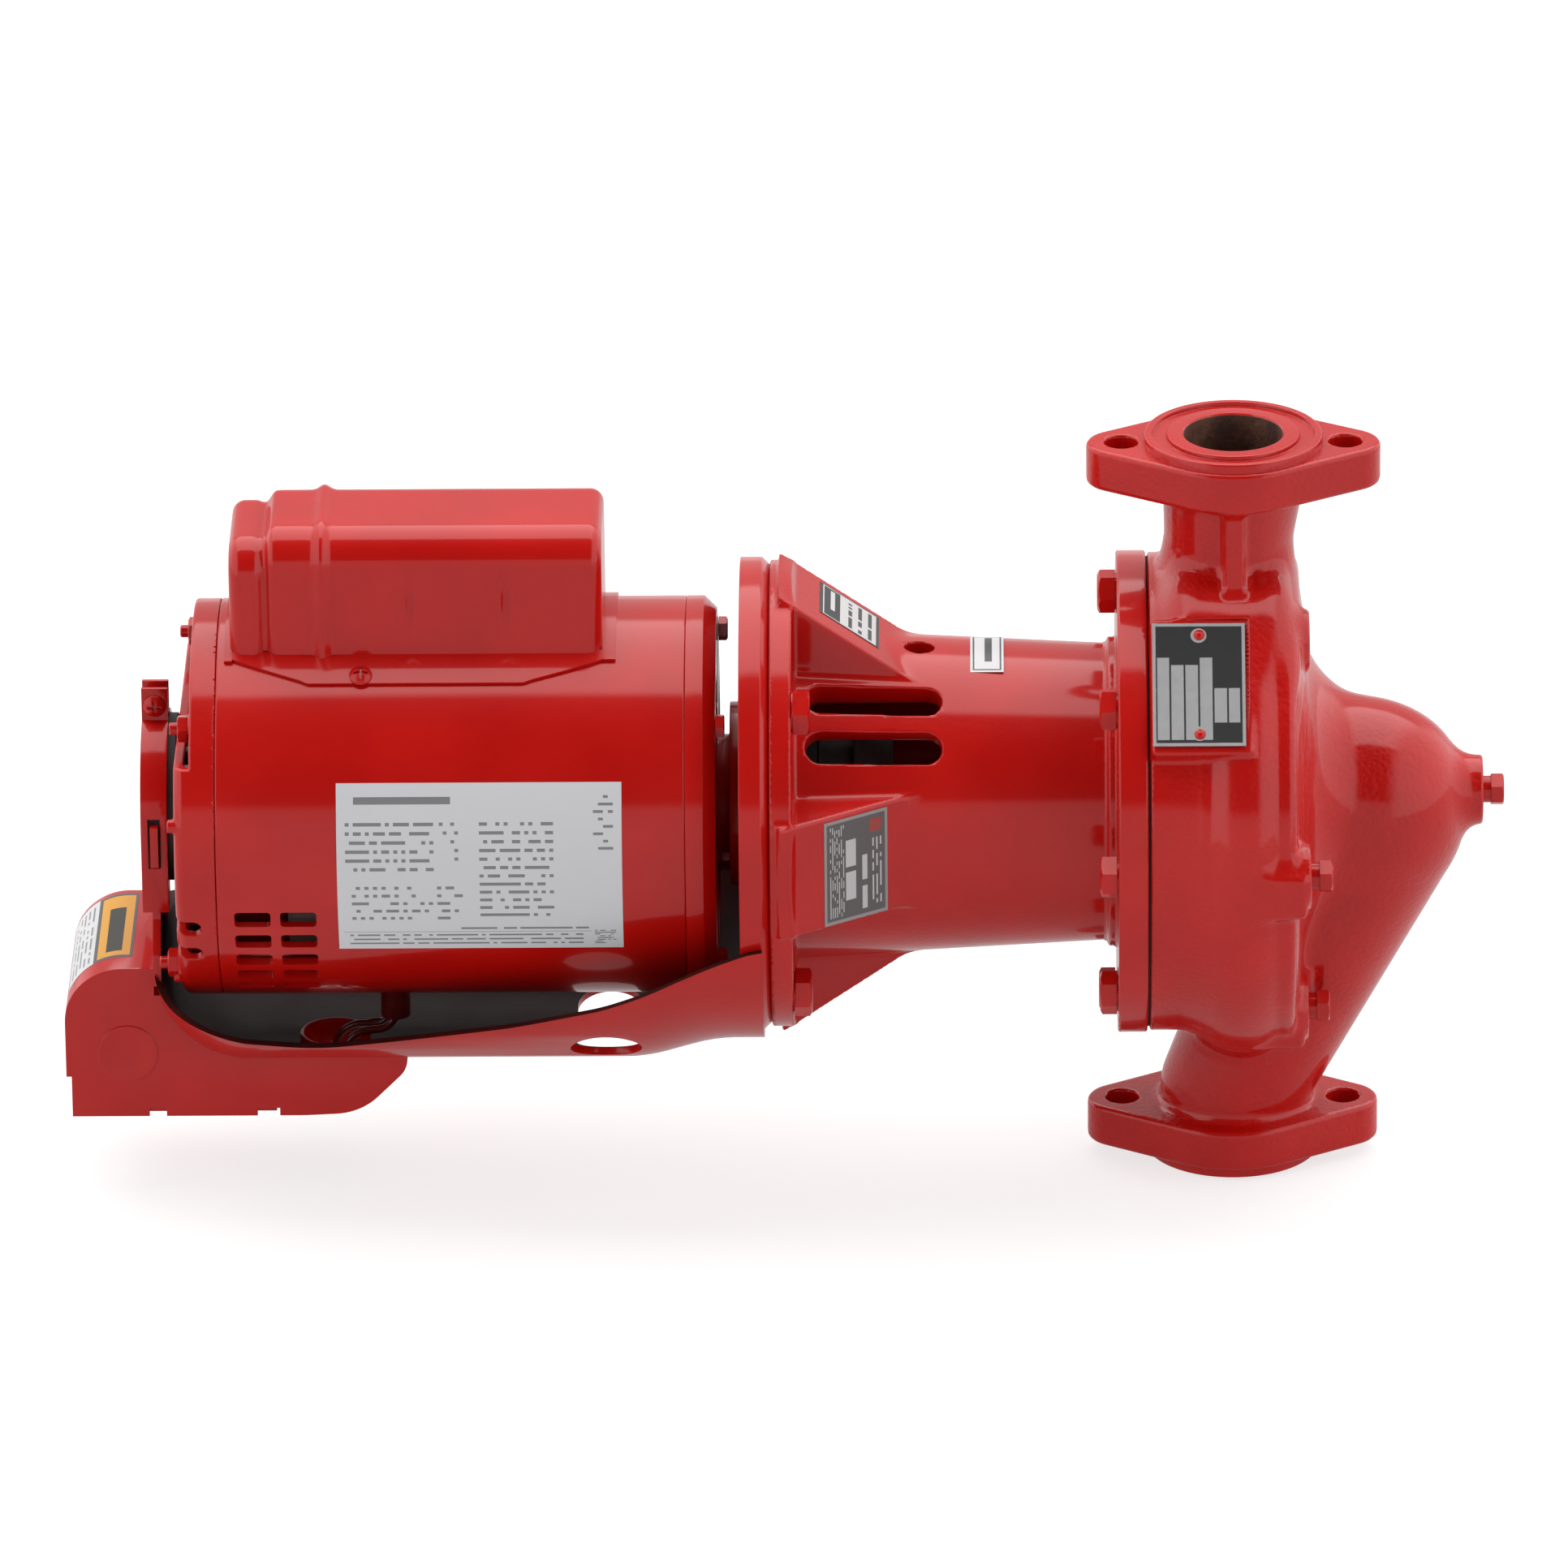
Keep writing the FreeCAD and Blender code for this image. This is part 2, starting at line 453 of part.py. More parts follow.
def make_bearing_bracket():
    barrel = turned([
        (BRACKET_FLANGE_FRONT - 4, 0), (BRACKET_FLANGE_FRONT - 4, BARREL_REAR_RADIUS + 2),
        (GUSSET_TIP, BARREL_REAR_RADIUS), (COVER_BACK + 2, BARREL_FRONT_RADIUS), (COVER_BACK + 2, 0)])
    flange = turned([
        (BRACKET_FLANGE_BACK, 0), (BRACKET_FLANGE_BACK, BRACKET_FLANGE_RADIUS - 1),
        (BRACKET_FLANGE_BACK + 1, BRACKET_FLANGE_RADIUS), (BRACKET_FLANGE_FRONT - 1.5, BRACKET_FLANGE_RADIUS),
        (BRACKET_FLANGE_FRONT, BRACKET_FLANGE_RADIUS - 1.5), (BRACKET_FLANGE_FRONT, 0)])
    cover = turned([
        (COVER_BACK - 3, 0), (COVER_BACK - 3, BARREL_FRONT_RADIUS + 2.5),
        (COVER_BACK, BARREL_FRONT_RADIUS + 2.5),
        (COVER_BACK, COVER_RADIUS - 1.5), (COVER_BACK + 1.5, COVER_RADIUS), (COVER_FACE - 1, COVER_RADIUS),
        (COVER_FACE, COVER_RADIUS - 1), (COVER_FACE, SPIGOT_RADIUS - 0.2),
        (COVER_FACE + 5, SPIGOT_RADIUS - 0.2), (COVER_FACE + 5, 60),
        (COVER_FACE + 1, 30), (COVER_FACE + 1, 0)])
    half = GUSSET_WIDTH / 2
    gusset = prism(
        [(BRACKET_FLANGE_FRONT - 1, BARREL_BORE + 4), (BRACKET_FLANGE_FRONT - 1, GUSSET_TOP),
         (BRACKET_FLANGE_FRONT + 2, GUSSET_TOP), (GUSSET_TIP + 3, BARREL_REAR_RADIUS - 0.7),
         (GUSSET_TIP + 3, BARREL_BORE + 4)],
        V(0, GUSSET_WIDTH, 0), lambda x, z: V(x, -half, z))
    gussets = [spun(gusset, 90 * i) for i in range(4)]
    bracket = fuse([barrel, flange, cover] + gussets)
    hub_back = PUMP_BEARINGS[0] - 4
    hollow = disc(BRACKET_FLANGE_BACK - 1, COVER_BACK - 8, BARREL_BORE)
    hub = disc(hub_back, COVER_BACK, BEARING_HUB_RADIUS)
    web = prism(
        [(hub_back + 8, 22), (hub_back + 8, 31), (hub_back + 28, BARREL_BORE + 1),
         (COVER_BACK, BARREL_BORE + 1), (COVER_BACK, 22)], V(0, 6, 0), lambda x, z: V(x, -3, z))
    webs = [spun(web, 45 + 90 * i) for i in range(4)]
    bracket = fuse([bracket.cut(hollow), hub] + webs)
    bores = [
        disc(hub_back - 1, PUMP_BEARINGS[1] + RACE_WIDTH, RACE_OUTSIDE),
        disc(hub_back, COVER_FACE + 6, SHAFT_RADIUS + 1.2),
        disc(-34, COVER_FACE + 6, SEAL_SEAT_RADIUS),
        ring(PUMP_BEARINGS[0] - SNAP_RING_THICK, PUMP_BEARINGS[0], RACE_OUTSIDE + 1.2, 10),
        disc(PUMP_BEARINGS[1] + RACE_WIDTH - 1, -50, SEAL_SEAT_RADIUS),
        Part.makeCylinder(OIL_HOLE_RADIUS, 40, V(OIL_HOLE_STATION, 0, 40)),
        Part.makeCylinder(WEEP_HOLE_RADIUS, 50, V(WEEP_HOLE_STATION, 0, -70)),
    ]
    bracket = cut(bracket, bores)
    for angle in BARREL_SLOT_ANGLES:
        bracket = bracket.cut(spun(barrel_slot(), angle))
    for p in around(8, CASING_BOLT_CIRCLE, 0):
        bracket = bracket.cut(disc(COVER_BACK - 1, COVER_FACE + 1, BOLT_RADIUS + 0.2, (p.y, p.z)))
    for p in around(4, BRACKET_BOLT_CIRCLE, 45):
        hole = disc(BRACKET_FLANGE_BACK - 1, BRACKET_FLANGE_FRONT + 1, BOLT_RADIUS + 0.2, (p.y, p.z))
        bracket = bracket.cut(hole)
    save("bearing_bracket", bracket)


def barrel_slot():
    """Round-ended access slot through the front of the barrel, along the shaft."""
    x0, x1 = BARREL_SLOT
    half, outside, depth = BARREL_SLOT_HALF, -75, 30
    ends = [Part.makeCylinder(half, depth, V(x, outside, 0), ALONG_Y) for x in (x0 + half, x1 - half)]
    middle = Part.makeBox(x1 - x0 - 2 * half, depth, 2 * half, V(x0 + half, outside, -half))
    return fuse([middle] + ends)


# ---------------------------------------------------------------- coupler

def jaw_sector(x0, x1, half_angle, inside=JAW_INSIDE, outside=JAW_OUTSIDE):
    """Wedge of a ring centred on the front of the shaft."""
    reach = 2 * outside
    half = math.radians(half_angle)
    y, z = reach * math.cos(half), reach * math.sin(half)
    corners = [(0, 0), (-y, -z), (-y, z)]
    wedge = prism(corners, V(x1 - x0, 0, 0), lambda y, z: V(x0, y, z))
    return wedge.common(ring(x0, x1, outside, inside))


def coupler_hub(x0, x1, jaw_x0, jaw_x1, first, bore):
    """Cast hub with three jaws and a tapped hole for its set screw."""
    jaws = [spun(jaw_sector(jaw_x0, jaw_x1, JAW_HALF_ANGLE), first + 120 * i) for i in range(3)]
    hub = fuse([disc(x0, x1, COUPLER_RADIUS)] + jaws).cut(disc(x0 - 1, x1 + 1, bore))
    return hub.cut(Part.makeCylinder(SET_SCREW_RADIUS, 40, V((x0 + x1) / 2, 0, 0), ALONG_Z))


def set_screw(x):
    """Socket set screw, flush with the hub, pressing on the shaft at the top."""
    length = COUPLER_RADIUS - SHAFT_RADIUS - 1
    screw = Part.makeCylinder(SET_SCREW_RADIUS, length, V(x, 0, SHAFT_RADIUS), ALONG_Z)
    key = 1.8
    socket = prism(
        [(key * math.cos(math.radians(60 * i)), key * math.sin(math.radians(60 * i))) for i in range(6)],
        V(0, 0, 6), lambda a, b: V(x + a, b, COUPLER_RADIUS - 4))
    return screw.cut(socket)


def make_coupler():
    gap = 0.6
    m0, m1 = COUPLER_MOTOR
    p0, p1 = COUPLER_PUMP
    save("coupler_motor_hub", coupler_hub(m0, m1, m1 - 1, p0 - gap, 0, SHAFT_RADIUS))
    save("coupler_pump_hub", coupler_hub(p0, p1, m1 + gap, p0 + 1, 60, SHAFT_RADIUS))
    spider = ring(m1 + gap, p0 - gap, JAW_OUTSIDE - 0.5, SHAFT_RADIUS + 0.5)
    for i in range(6):
        clearance = 0 if i % 2 == 0 else 1.5
        notch = jaw_sector(m1, p0, JAW_HALF_ANGLE + clearance, JAW_INSIDE - 0.6 * (i % 2), JAW_OUTSIDE + 1)
        spider = spider.cut(spun(notch, 60 * i))
    save("coupler_spider", spider)
    save("motor_set_screw", set_screw((m0 + m1) / 2))
    save("pump_set_screw", set_screw((p0 + p1) / 2))


# ---------------------------------------------------------------- motor

def radial_box(x0, x1, inside, outside, width):
    """Box standing out to the front of the shaft."""
    return Part.makeBox(x1 - x0, outside - inside, width, V(x0, -outside, -width / 2))


def make_motor_shell():
    shell = ring(SHELL_REAR, SHELL_FRONT, MOTOR_RADIUS, MOTOR_RADIUS - SHELL_WALL)
    for x in VENT_COLUMNS:
        window = radial_box(x - VENT_LENGTH / 2, x + VENT_LENGTH / 2, 60, 80, VENT_HEIGHT)
        for angle in VENT_ANGLES:
            shell = cut(shell, [spun(window, angle), spun(window, 180 - angle)])
    shell = shell.cut(Part.makeCylinder(LEAD_EXIT_RADIUS, 20, V(LEAD_EXIT[0], LEAD_EXIT[1], -85)))
    for angle in COVER_SCREW_ANGLES:
        shell = shell.cut(spun(Part.makeCylinder(2.0, 20, V(COVER_SCREW_AT, -60, 0), V(0, -1, 0)), angle))
    save("motor_shell", shell)


def end_bell(face, inner_face, rim, hub_end, race):
    """Cast end cover turned from its rim to the hub that carries the resilient ring."""
    out = 1 if face > rim else -1
    outline = [
        (hub_end, 9.5), (hub_end, RING_HUB_RADIUS), (face, RING_HUB_RADIUS), (face, MOTOR_RADIUS - 4.5),
        (face - out * 4.6, MOTOR_RADIUS), (rim, MOTOR_RADIUS), (rim, MOTOR_RADIUS - SHELL_WALL),
        (inner_face - out * 3, MOTOR_RADIUS - SHELL_WALL), (inner_face, MOTOR_RADIUS - 7), (inner_face, 26),
        (race[0], 26), (race[0], RACE_OUTSIDE), (race[1], RACE_OUTSIDE), (race[1], 9.5)]
    bell = turned(outline)
    for p in around(4, TIE_BOLT_CIRCLE, 45):
        x0, x1 = sorted((rim - out, face + out))
        bell = bell.cut(disc(x0, x1, TIE_BOLT_RADIUS + 0.2, (p.y, p.z)))
    return bell


def make_end_bells():
    front = end_bell(FRONT_BELL_END, FRONT_BELL_END - 4, SHELL_FRONT, FRONT_HUB_END,
                     (MOTOR_BEARINGS[1], MOTOR_BEARINGS[1] + RACE_WIDTH))
    window = radial_box(FRONT_BELL_END - 5, FRONT_BELL_END + 1, 34, 58, 16)
    for i in range(8):
        front = front.cut(spun(window, 22.5 + 45 * i))
    save("front_end_bell", front)
    rear = end_bell(REAR_BELL_END, REAR_BELL_END + 4, SHELL_REAR, REAR_HUB_END,
                    (MOTOR_BEARINGS[0] + RACE_WIDTH, MOTOR_BEARINGS[0]))
    for angle in BELL_NOTCH_ANGLES:
        notch = disc(REAR_BELL_END - 1, REAR_BELL_END + 10, 3.2, (-MOTOR_RADIUS, 0))
        rear = rear.cut(spun(notch, angle))
    save("rear_end_bell", rear)


def make_stator():
    start, end = STACK
    core = ring(start, end, MOTOR_RADIUS - SHELL_WALL, STATOR_BORE)
    bars = []
    for i in range(SLOT_COUNT):
        bars.append(spun(radial_box(start, end, SLOT_INSIDE, SLOT_OUTSIDE, SLOT_WIDTH), 360 * i / SLOT_COUNT))
    core = core.cut(Part.makeCompound(bars))
    for p in around(4, TIE_BOLT_CIRCLE, 45):
        core = core.cut(disc(start - 1, end + 1, TIE_BOLT_RADIUS + 0.2, (p.y, p.z)))
    save("stator_core", core)
    turns = [ring(x, x + END_TURN, SLOT_OUTSIDE + 2, SLOT_INSIDE - 1) for x in (start - END_TURN, end)]
    overlap = 4.0
    for i in range(SLOT_COUNT):
        long_bar = radial_box(start - overlap, end + overlap, SLOT_INSIDE, SLOT_OUTSIDE, SLOT_WIDTH)
        turns.append(spun(long_bar, 360 * i / SLOT_COUNT))
    save("stator_windings", fuse(turns))


def make_rotor():
    start, end = STACK
    save("rotor_core", ring(start, end, ROTOR_RADIUS, SHAFT_RADIUS))
    cage = []
    for x0, x1, blade_end in ((start - 8, start, start - 18), (end, end + 8, end + 18)):
        blade = radial_box(min(x0, blade_end), max(x1, blade_end), 29, 38, 1.8)
        blades = [spun(blade, 40 * i) for i in range(9)]
        cage.append(ring(x0, x1, ROTOR_RADIUS - 0.5, 27).multiFuse(blades))
    save("rotor_end_rings", *cage)
    save("motor_shaft", disc(REAR_HUB_END + 4, COUPLER_MOTOR[1], SHAFT_RADIUS))


def make_fan():
    x0, x1 = FAN_HUB
    fan = [ring(x0, x1, 14, SHAFT_RADIUS), ring(x1 - 3, x1 - 1.4, FAN_RADIUS, SHAFT_RADIUS)]
    blade = radial_box(x0 + 1, x1 - 2, 26, FAN_RADIUS, 1.8)
    fan += [spun(blade, 45 * i) for i in range(8)]
    save("cooling_fan", fan[0].multiFuse(fan[1:]))


def make_start_switch():
    d0, d1 = GOVERNOR_DISC
    save("governor_disc", ring(d0, d0 + 1.6, 27, SHAFT_RADIUS).fuse(ring(d0, d1, 13, SHAFT_RADIUS)))
    c0, c1 = GOVERNOR_COLLAR
    save("governor_collar", turned(
        [(c0, COLLAR_BORE), (c0, 18), (c0 + 2, 18), (c0 + 2, 14), (c1, 14), (c1, COLLAR_BORE)]))
    back, front = SWITCH_BOARD
    board = ring(back, front, 58, 30).common(Part.makeBox(20, 130, 70, V(back - 11, -65, 14)))
    arm = Part.makeBox(1.4, 8, 30, V(front, -4, 14))
    contact = Part.makeBox(4, 14, 7, V(front, -7, 44))
    feet = [disc(REAR_BELL_END + 4, back, 3.5, (p.y, p.z)) for p in (spot(40, 52), spot(140, 52))]
    save("start_switch", fuse([board, arm, contact] + feet))


def make_tie_bolts():
    """Four long bolts clamp the end bells on the shell; nuts and short stubs show at the rear."""
    rods, nuts = [], []
    for p in around(4, TIE_BOLT_CIRCLE, 45):
        centre = (p.y, p.z)
        head = hexagon(FRONT_BELL_END, FRONT_BELL_END + 3.6, 8, centre, 30)
        rods.append(disc(REAR_BELL_END - 7.5, FRONT_BELL_END, TIE_BOLT_RADIUS, centre).fuse(head))
        nut = hexagon(REAR_BELL_END - 3.8, REAR_BELL_END, 9.5, centre, 10)
        nuts.append(nut.cut(disc(REAR_BELL_END - 9, REAR_BELL_END + 1, TIE_BOLT_RADIUS, centre)))
    save("tie_bolts", *rods)
    save("tie_bolt_nuts", *nuts)


def make_thermal_protector():
    p = spot(-90, 50)
    save("thermal_protector", disc(REAR_BELL_END + 4, REAR_BELL_END + 13, 9, (p.y, p.z)))


def make_capacitor():
    axis = COVER_TOP - THIN_SHEET - CAPACITOR_RADIUS
    x0, x1 = CAPACITOR_ENDS
    can = [disc(x0, x1, CAPACITOR_RADIUS, (0, axis))]
    can += [Part.makeBox(8, 6.3, 0.8, V(x0 - 8, y - 3.15, axis)) for y in (-8, 8)]
    save("capacitor", fuse(can))
    pad = Part.makeBox(70, 20, 30, V(-340, -10, 65))
    hollows = [disc(-360, -250, MOTOR_RADIUS), disc(-360, -250, CAPACITOR_RADIUS, (0, axis))]
    save("capacitor_pad", cut(pad, hollows))


def pan_head(seat):
    """Low domed screw head standing out to the front from its seat."""
    across, radius = 20, 5.2
    return Part.makeSphere(radius, seat + V(0, radius / 2, 0)).common(
        Part.makeBox(across, across, across, seat + V(-across / 2, -across, -across / 2)))


def tab_outline(sign, inside, outside):
    """Curved side tab of the capacitor cover, wide at the cover and narrower at its free edge."""
    x0, x1 = COVER_ENDS
    low, high = TAB_ANGLES
    strip = ring(x0, x1, outside, inside)
    reach = 120
    corners = [(0, 0)]
    for angle in (low, high):
        far = spot(angle, reach)
        corners.append((sign * far.y, far.z))
    wedge = prism(corners, V(x1 - x0, 0, 0), lambda y, z: V(x0, y, z))
    sector = strip.common(wedge)
    wide = sign * MOTOR_RADIUS * math.cos(math.radians(high))
    narrow = sign * MOTOR_RADIUS * math.cos(math.radians(low))
    plan = prism(
        [(x0 + 3, wide), (x0 + 27, narrow), (x1 - 28, narrow), (x1 - 4, wide), (x1 - 4, wide * 0.8),
         (x0 + 3, wide * 0.8)],
        V(0, 0, reach), lambda x, y: V(x, -y, 0))
    return sector.common(plan)


def rounded_block(shrink):
    """Block with its two upper lengthwise edges rounded; shrink gives the inside of the pressed cover."""
    x0, x1 = COVER_ENDS
    half, top = COVER_HALF_WIDTH - shrink, COVER_TOP - shrink
    block = Part.makeBox(x1 - x0 - 2 * shrink, 2 * half, top - COVER_FOOT, V(x0 + shrink, -half, COVER_FOOT))
    upper = [e for e in block.Edges
             if abs(e.CenterOfMass.z - top) < 0.5 and abs(abs(e.CenterOfMass.y) - half) < 0.5]
    return block.makeFillet(COVER_CORNER - shrink, upper)


def make_capacitor_cover():
    x0, x1 = COVER_ENDS
    half, sheet, lip_reach = COVER_HALF_WIDTH, THIN_SHEET, 3.0
    lip = Part.makeBox(x1 - x0 + 2 * lip_reach, 2 * half + 4, 60, V(x0 - lip_reach, -half - 2, 50)).common(
        ring(x0 - lip_reach, x1 + lip_reach, MOTOR_RADIUS + sheet, MOTOR_RADIUS)).cut(
        Part.makeBox(x1 - x0 - 2 * sheet, 2 * (half - sheet), 80, V(x0 + sheet, sheet - half, 50)))
    shell = rounded_block(0).cut(rounded_block(sheet)).cut(disc(x0 - 5, x1 + 5, MOTOR_RADIUS))
    tabs = [tab_outline(side, MOTOR_RADIUS, MOTOR_RADIUS + sheet) for side in (1, -1)]
    cover = fuse([shell, lip] + tabs)
    for angle in COVER_SCREW_ANGLES:
        hole = Part.makeCylinder(COVER_SCREW_RADIUS, 30, V(COVER_SCREW_AT, -60, 0), V(0, -1, 0))
        cover = cover.cut(spun(hole, angle))
    save("capacitor_cover", cover)
    screws = []
    head_at = MOTOR_RADIUS + sheet
    for angle in COVER_SCREW_ANGLES:
        start = V(COVER_SCREW_AT, -MOTOR_RADIUS + SHELL_WALL, 0)
        shank = Part.makeCylinder(COVER_SCREW_RADIUS, SHELL_WALL + 2, start, V(0, -1, 0))
        screws.append(spun(fuse([shank, pan_head(V(COVER_SCREW_AT, -head_at, 0))]), angle))
    save("cover_screws", *screws)


# ---------------------------------------------------------------- cradle

def rounded(points, place):
    """Flat face from corners (a, b, radius); each corner is rounded by a tangent arc of its radius."""
    edges, joins = [], []
    count = len(points)
    for i, (a, b, r) in enumerate(points):
        here = V(a, b, 0)
        back = V(points[i - 1][0], points[i - 1][1], 0) - here
        ahead = V(points[(i + 1) % count][0], points[(i + 1) % count][1], 0) - here
        back.normalize()
        ahead.normalize()
        if r == 0:
            joins.append((here, None, here))
            continue
        half = back.getAngle(ahead) / 2
        middle = (back + ahead).normalize()
        centre = here + middle * (r / math.sin(half))
        reach = r / math.tan(half)
        joins.append((here + back * reach, centre - middle * r, here + ahead * reach))
    for i, (start, middle, end) in enumerate(joins):
        if middle is not None:
            edges.append(Part.Arc(*[place(p.x, p.y) for p in (start, middle, end)]).toShape())
        following = joins[(i + 1) % count][0]
        if (following - end).Length > 1e-6:
            edges.append(Part.makeLine(place(end.x, end.y), place(following.x, following.y)))
    return Part.Face(Part.Wire(Part.__sortEdges__(edges)))


def trough_profile(inset):
    """Half section of the dished tray in station and radius; inset moves it inwards from the outside face."""
    left, right = UPRIGHT_OUTSIDE + inset, BRACKET_FLANGE_BACK - 3.0
    deep, neck = TROUGH_RADIUS - inset, PAN_RADIUS + SHEET - inset
    return left, right, deep, neck


def trough_shell(inset):
    """Solid of revolution up to the tray's outside face less inset."""
    left, right, deep, neck = trough_profile(inset)
    bend = BEND_RADIUS - inset
    face = rounded(
        [(left, 0, 0), (left, deep, bend), (-222, deep, 60), (-196, neck, 60),
         (right, neck, 0), (right, 0, 0)],
        lambda x, r: V(x, 0, r))
    return face.revolve(V(0, 0, 0), ALONG_X, 360)


def make_cradle():
    back = BRACKET_FLANGE_BACK
    pan = turned([
        (back, RUBBER_RADIUS), (back, PAN_RADIUS - 3), (back - 3, PAN_RADIUS), (back - PAN_DEPTH, PAN_RADIUS),
        (back - PAN_DEPTH, PAN_RADIUS - SHEET), (back - SHEET, PAN_RADIUS - SHEET),
        (back - SHEET, RUBBER_RADIUS + SHEET), (FRONT_RING[0], RUBBER_RADIUS + SHEET),
        (FRONT_RING[0], RUBBER_RADIUS)])
    for p in around(4, BRACKET_BOLT_CIRCLE, 45):
        pan = pan.cut(disc(back - 4, back + 1, BOLT_RADIUS + 0.2, (p.y, p.z)))
    save("cradle_end_plate", pan)
    tray = trough_shell(0).cut(trough_shell(SHEET))
    far = 130
    corners = TRAY_EDGE + ((TRAY_EDGE[-1][0], -far, 0), (TRAY_EDGE[0][0], -far, 0))
    below = rounded(corners, lambda x, z: V(x, -far, z)).extrude(V(0, 2 * far, 0))
    tray = tray.common(below)
    half = RUBBER_RADIUS + STRAP + 0.4
    upright = rounded(
        [(-half + 3, 5, 1), (-half + 3, -37, 3), (-38, -50, 6), (-38, -62, 0), (38, -62, 0), (38, -50, 6),
         (half - 3, -37, 3), (half - 3, 5, 1)],
        lambda y, z: V(UPRIGHT_OUTSIDE, y, z)).extrude(V(SHEET, 0, 0))
    hooks = [Part.makeBox(SHEET, 3 + 2.2, 16, V(UPRIGHT_OUTSIDE, y, -14)) for y in (-half - 2.2, half - 3)]
    upright = fuse([upright.common(Part.makeBox(20, 200, 100, V(-420, -100, -66)))] + hooks)
    upright = upright.cut(disc(UPRIGHT_OUTSIDE - 5, UPRIGHT_OUTSIDE + 10, RUBBER_RADIUS))
    tray = tray.fuse(upright)
    holes = []
    start, out = V(TRAY_HOLE_STATION, -75, 0), V(0, -1, 0)
    for angle in TRAY_HOLE_ANGLES:
        holes.append(spun(Part.makeCylinder(TRAY_HOLE_RADIUS, 40, start, out), angle))
    for angle in (-90 - OBROUND_SPREAD, -90 + OBROUND_SPREAD):
        holes.append(spun(Part.makeCylinder(OBROUND_RADIUS, 40, start, out), angle))
    corner = V(TRAY_HOLE_STATION - OBROUND_RADIUS, -OBROUND_HALF, -far)
    holes.append(Part.makeBox(2 * OBROUND_RADIUS, 2 * OBROUND_HALF, 60, corner))
    holes.append(Part.makeCylinder(BUSHING_RADIUS, 60, V(BUSHING_AT[0], BUSHING_AT[1], -120)))
    save("cradle_tray", cut(tray, holes).removeSplitter())


def make_rubber_rings():
    save("rear_rubber_ring", ring(*REAR_RING, RUBBER_RADIUS, RING_HUB_RADIUS))
    save("front_rubber_ring", ring(*FRONT_RING, RUBBER_RADIUS, RING_HUB_RADIUS))


def make_strap():
    """Steel strap over the rear rubber ring, hooked on the upright and drawn tight by a screw at the top."""
    x0, x1 = STRAP_ENDS
    outer = RUBBER_RADIUS + STRAP
    band = ring(x0, x1, outer, RUBBER_RADIUS).common(Part.makeBox(20, 100, 50, V(x0 - 5, -50, 0)))
    legs = [Part.makeBox(x1 - x0, STRAP, -STRAP_FOOT, V(x0, y, STRAP_FOOT)) for y in (-outer, RUBBER_RADIUS)]
    ears = [Part.makeBox(x1 - x0, STRAP, EAR_TOP - RUBBER_RADIUS, V(x0, y, RUBBER_RADIUS))
            for y in (-EAR_GAP - STRAP, EAR_GAP)]
    strap = fuse([band] + legs + ears)
    strap = strap.cut(Part.makeBox(20, 2 * EAR_GAP, 20, V(x0 - 5, -EAR_GAP, RUBBER_RADIUS - 3)))
    width = STRAP_SLOT_WIDTH
    for y in (-outer - 1, RUBBER_RADIUS - 1):
        strap = strap.cut(Part.makeBox(width, STRAP + 2, 20, V((x0 + x1 - width) / 2, y, STRAP_SLOT_BOTTOM)))
    screw_at = V((x0 + x1) / 2, -12, STRAP_SCREW_HEIGHT)
    strap = strap.cut(Part.makeCylinder(STRAP_SCREW_RADIUS, 24, screw_at, ALONG_Y))
    save("strap_halves", strap)
    screw = [
        Part.makeCylinder(STRAP_SCREW_RADIUS, 19, screw_at + V(0, 4, 0), ALONG_Y),
        pan_head(screw_at + V(0, 12 - EAR_GAP - STRAP, 0)),
    ]
    save("strap_screw", fuse(screw))
    reach = 4.6
    nut = prism(
        [(reach * math.cos(math.radians(60 * i)), reach * math.sin(math.radians(60 * i))) for i in range(6)],
        V(0, 3.2, 0), lambda a, b: screw_at + V(a, 12 + EAR_GAP + STRAP, b))
    save("strap_nut", nut.cut(Part.makeCylinder(STRAP_SCREW_RADIUS, 30, screw_at, ALONG_Y)))


def make_bracket_bolts():
    bolts, nuts = [], []
    back = BRACKET_FLANGE_BACK - SHEET
    for p in around(4, BRACKET_BOLT_CIRCLE, 45):
        bolts.append(hex_bolt(BRACKET_FLANGE_FRONT, back - 9, *BRACKET_BOLT_HEAD, p))
        centre = (p.y, p.z)
        flat_outwards = math.degrees(math.atan2(p.z, p.y)) + 30
        across_flats, height = BRACKET_NUT
        nut = hexagon(back - height, back, across_flats, centre, flat_outwards)
        nuts.append(nut.cut(disc(back - height - 1, back + 1, BOLT_RADIUS, centre)))
    save("bracket_bolts", *bolts)
    save("bracket_nuts", *nuts)


# ---------------------------------------------------------------- junction box and leads

def box_side(inset):
    """Side view of the box: round at the upper left, swept up at the right."""
    return [
        (BOX_LEFT + inset, BOX_BOTTOM - inset * 2, 0), (BOX_LEFT + inset, BOX_TOP - inset, 22 - inset),
        (-385, BOX_TOP - inset, 0), (-340, -80, 0), (BOX_RIGHT + 2 - inset, -80, 0),
        (BOX_RIGHT + 2 - inset, -97, 10),
        (BOX_RIGHT - 16 - inset, BOX_BOTTOM + 1, 24), (-352, BOX_BOTTOM - inset * 2, 0)]


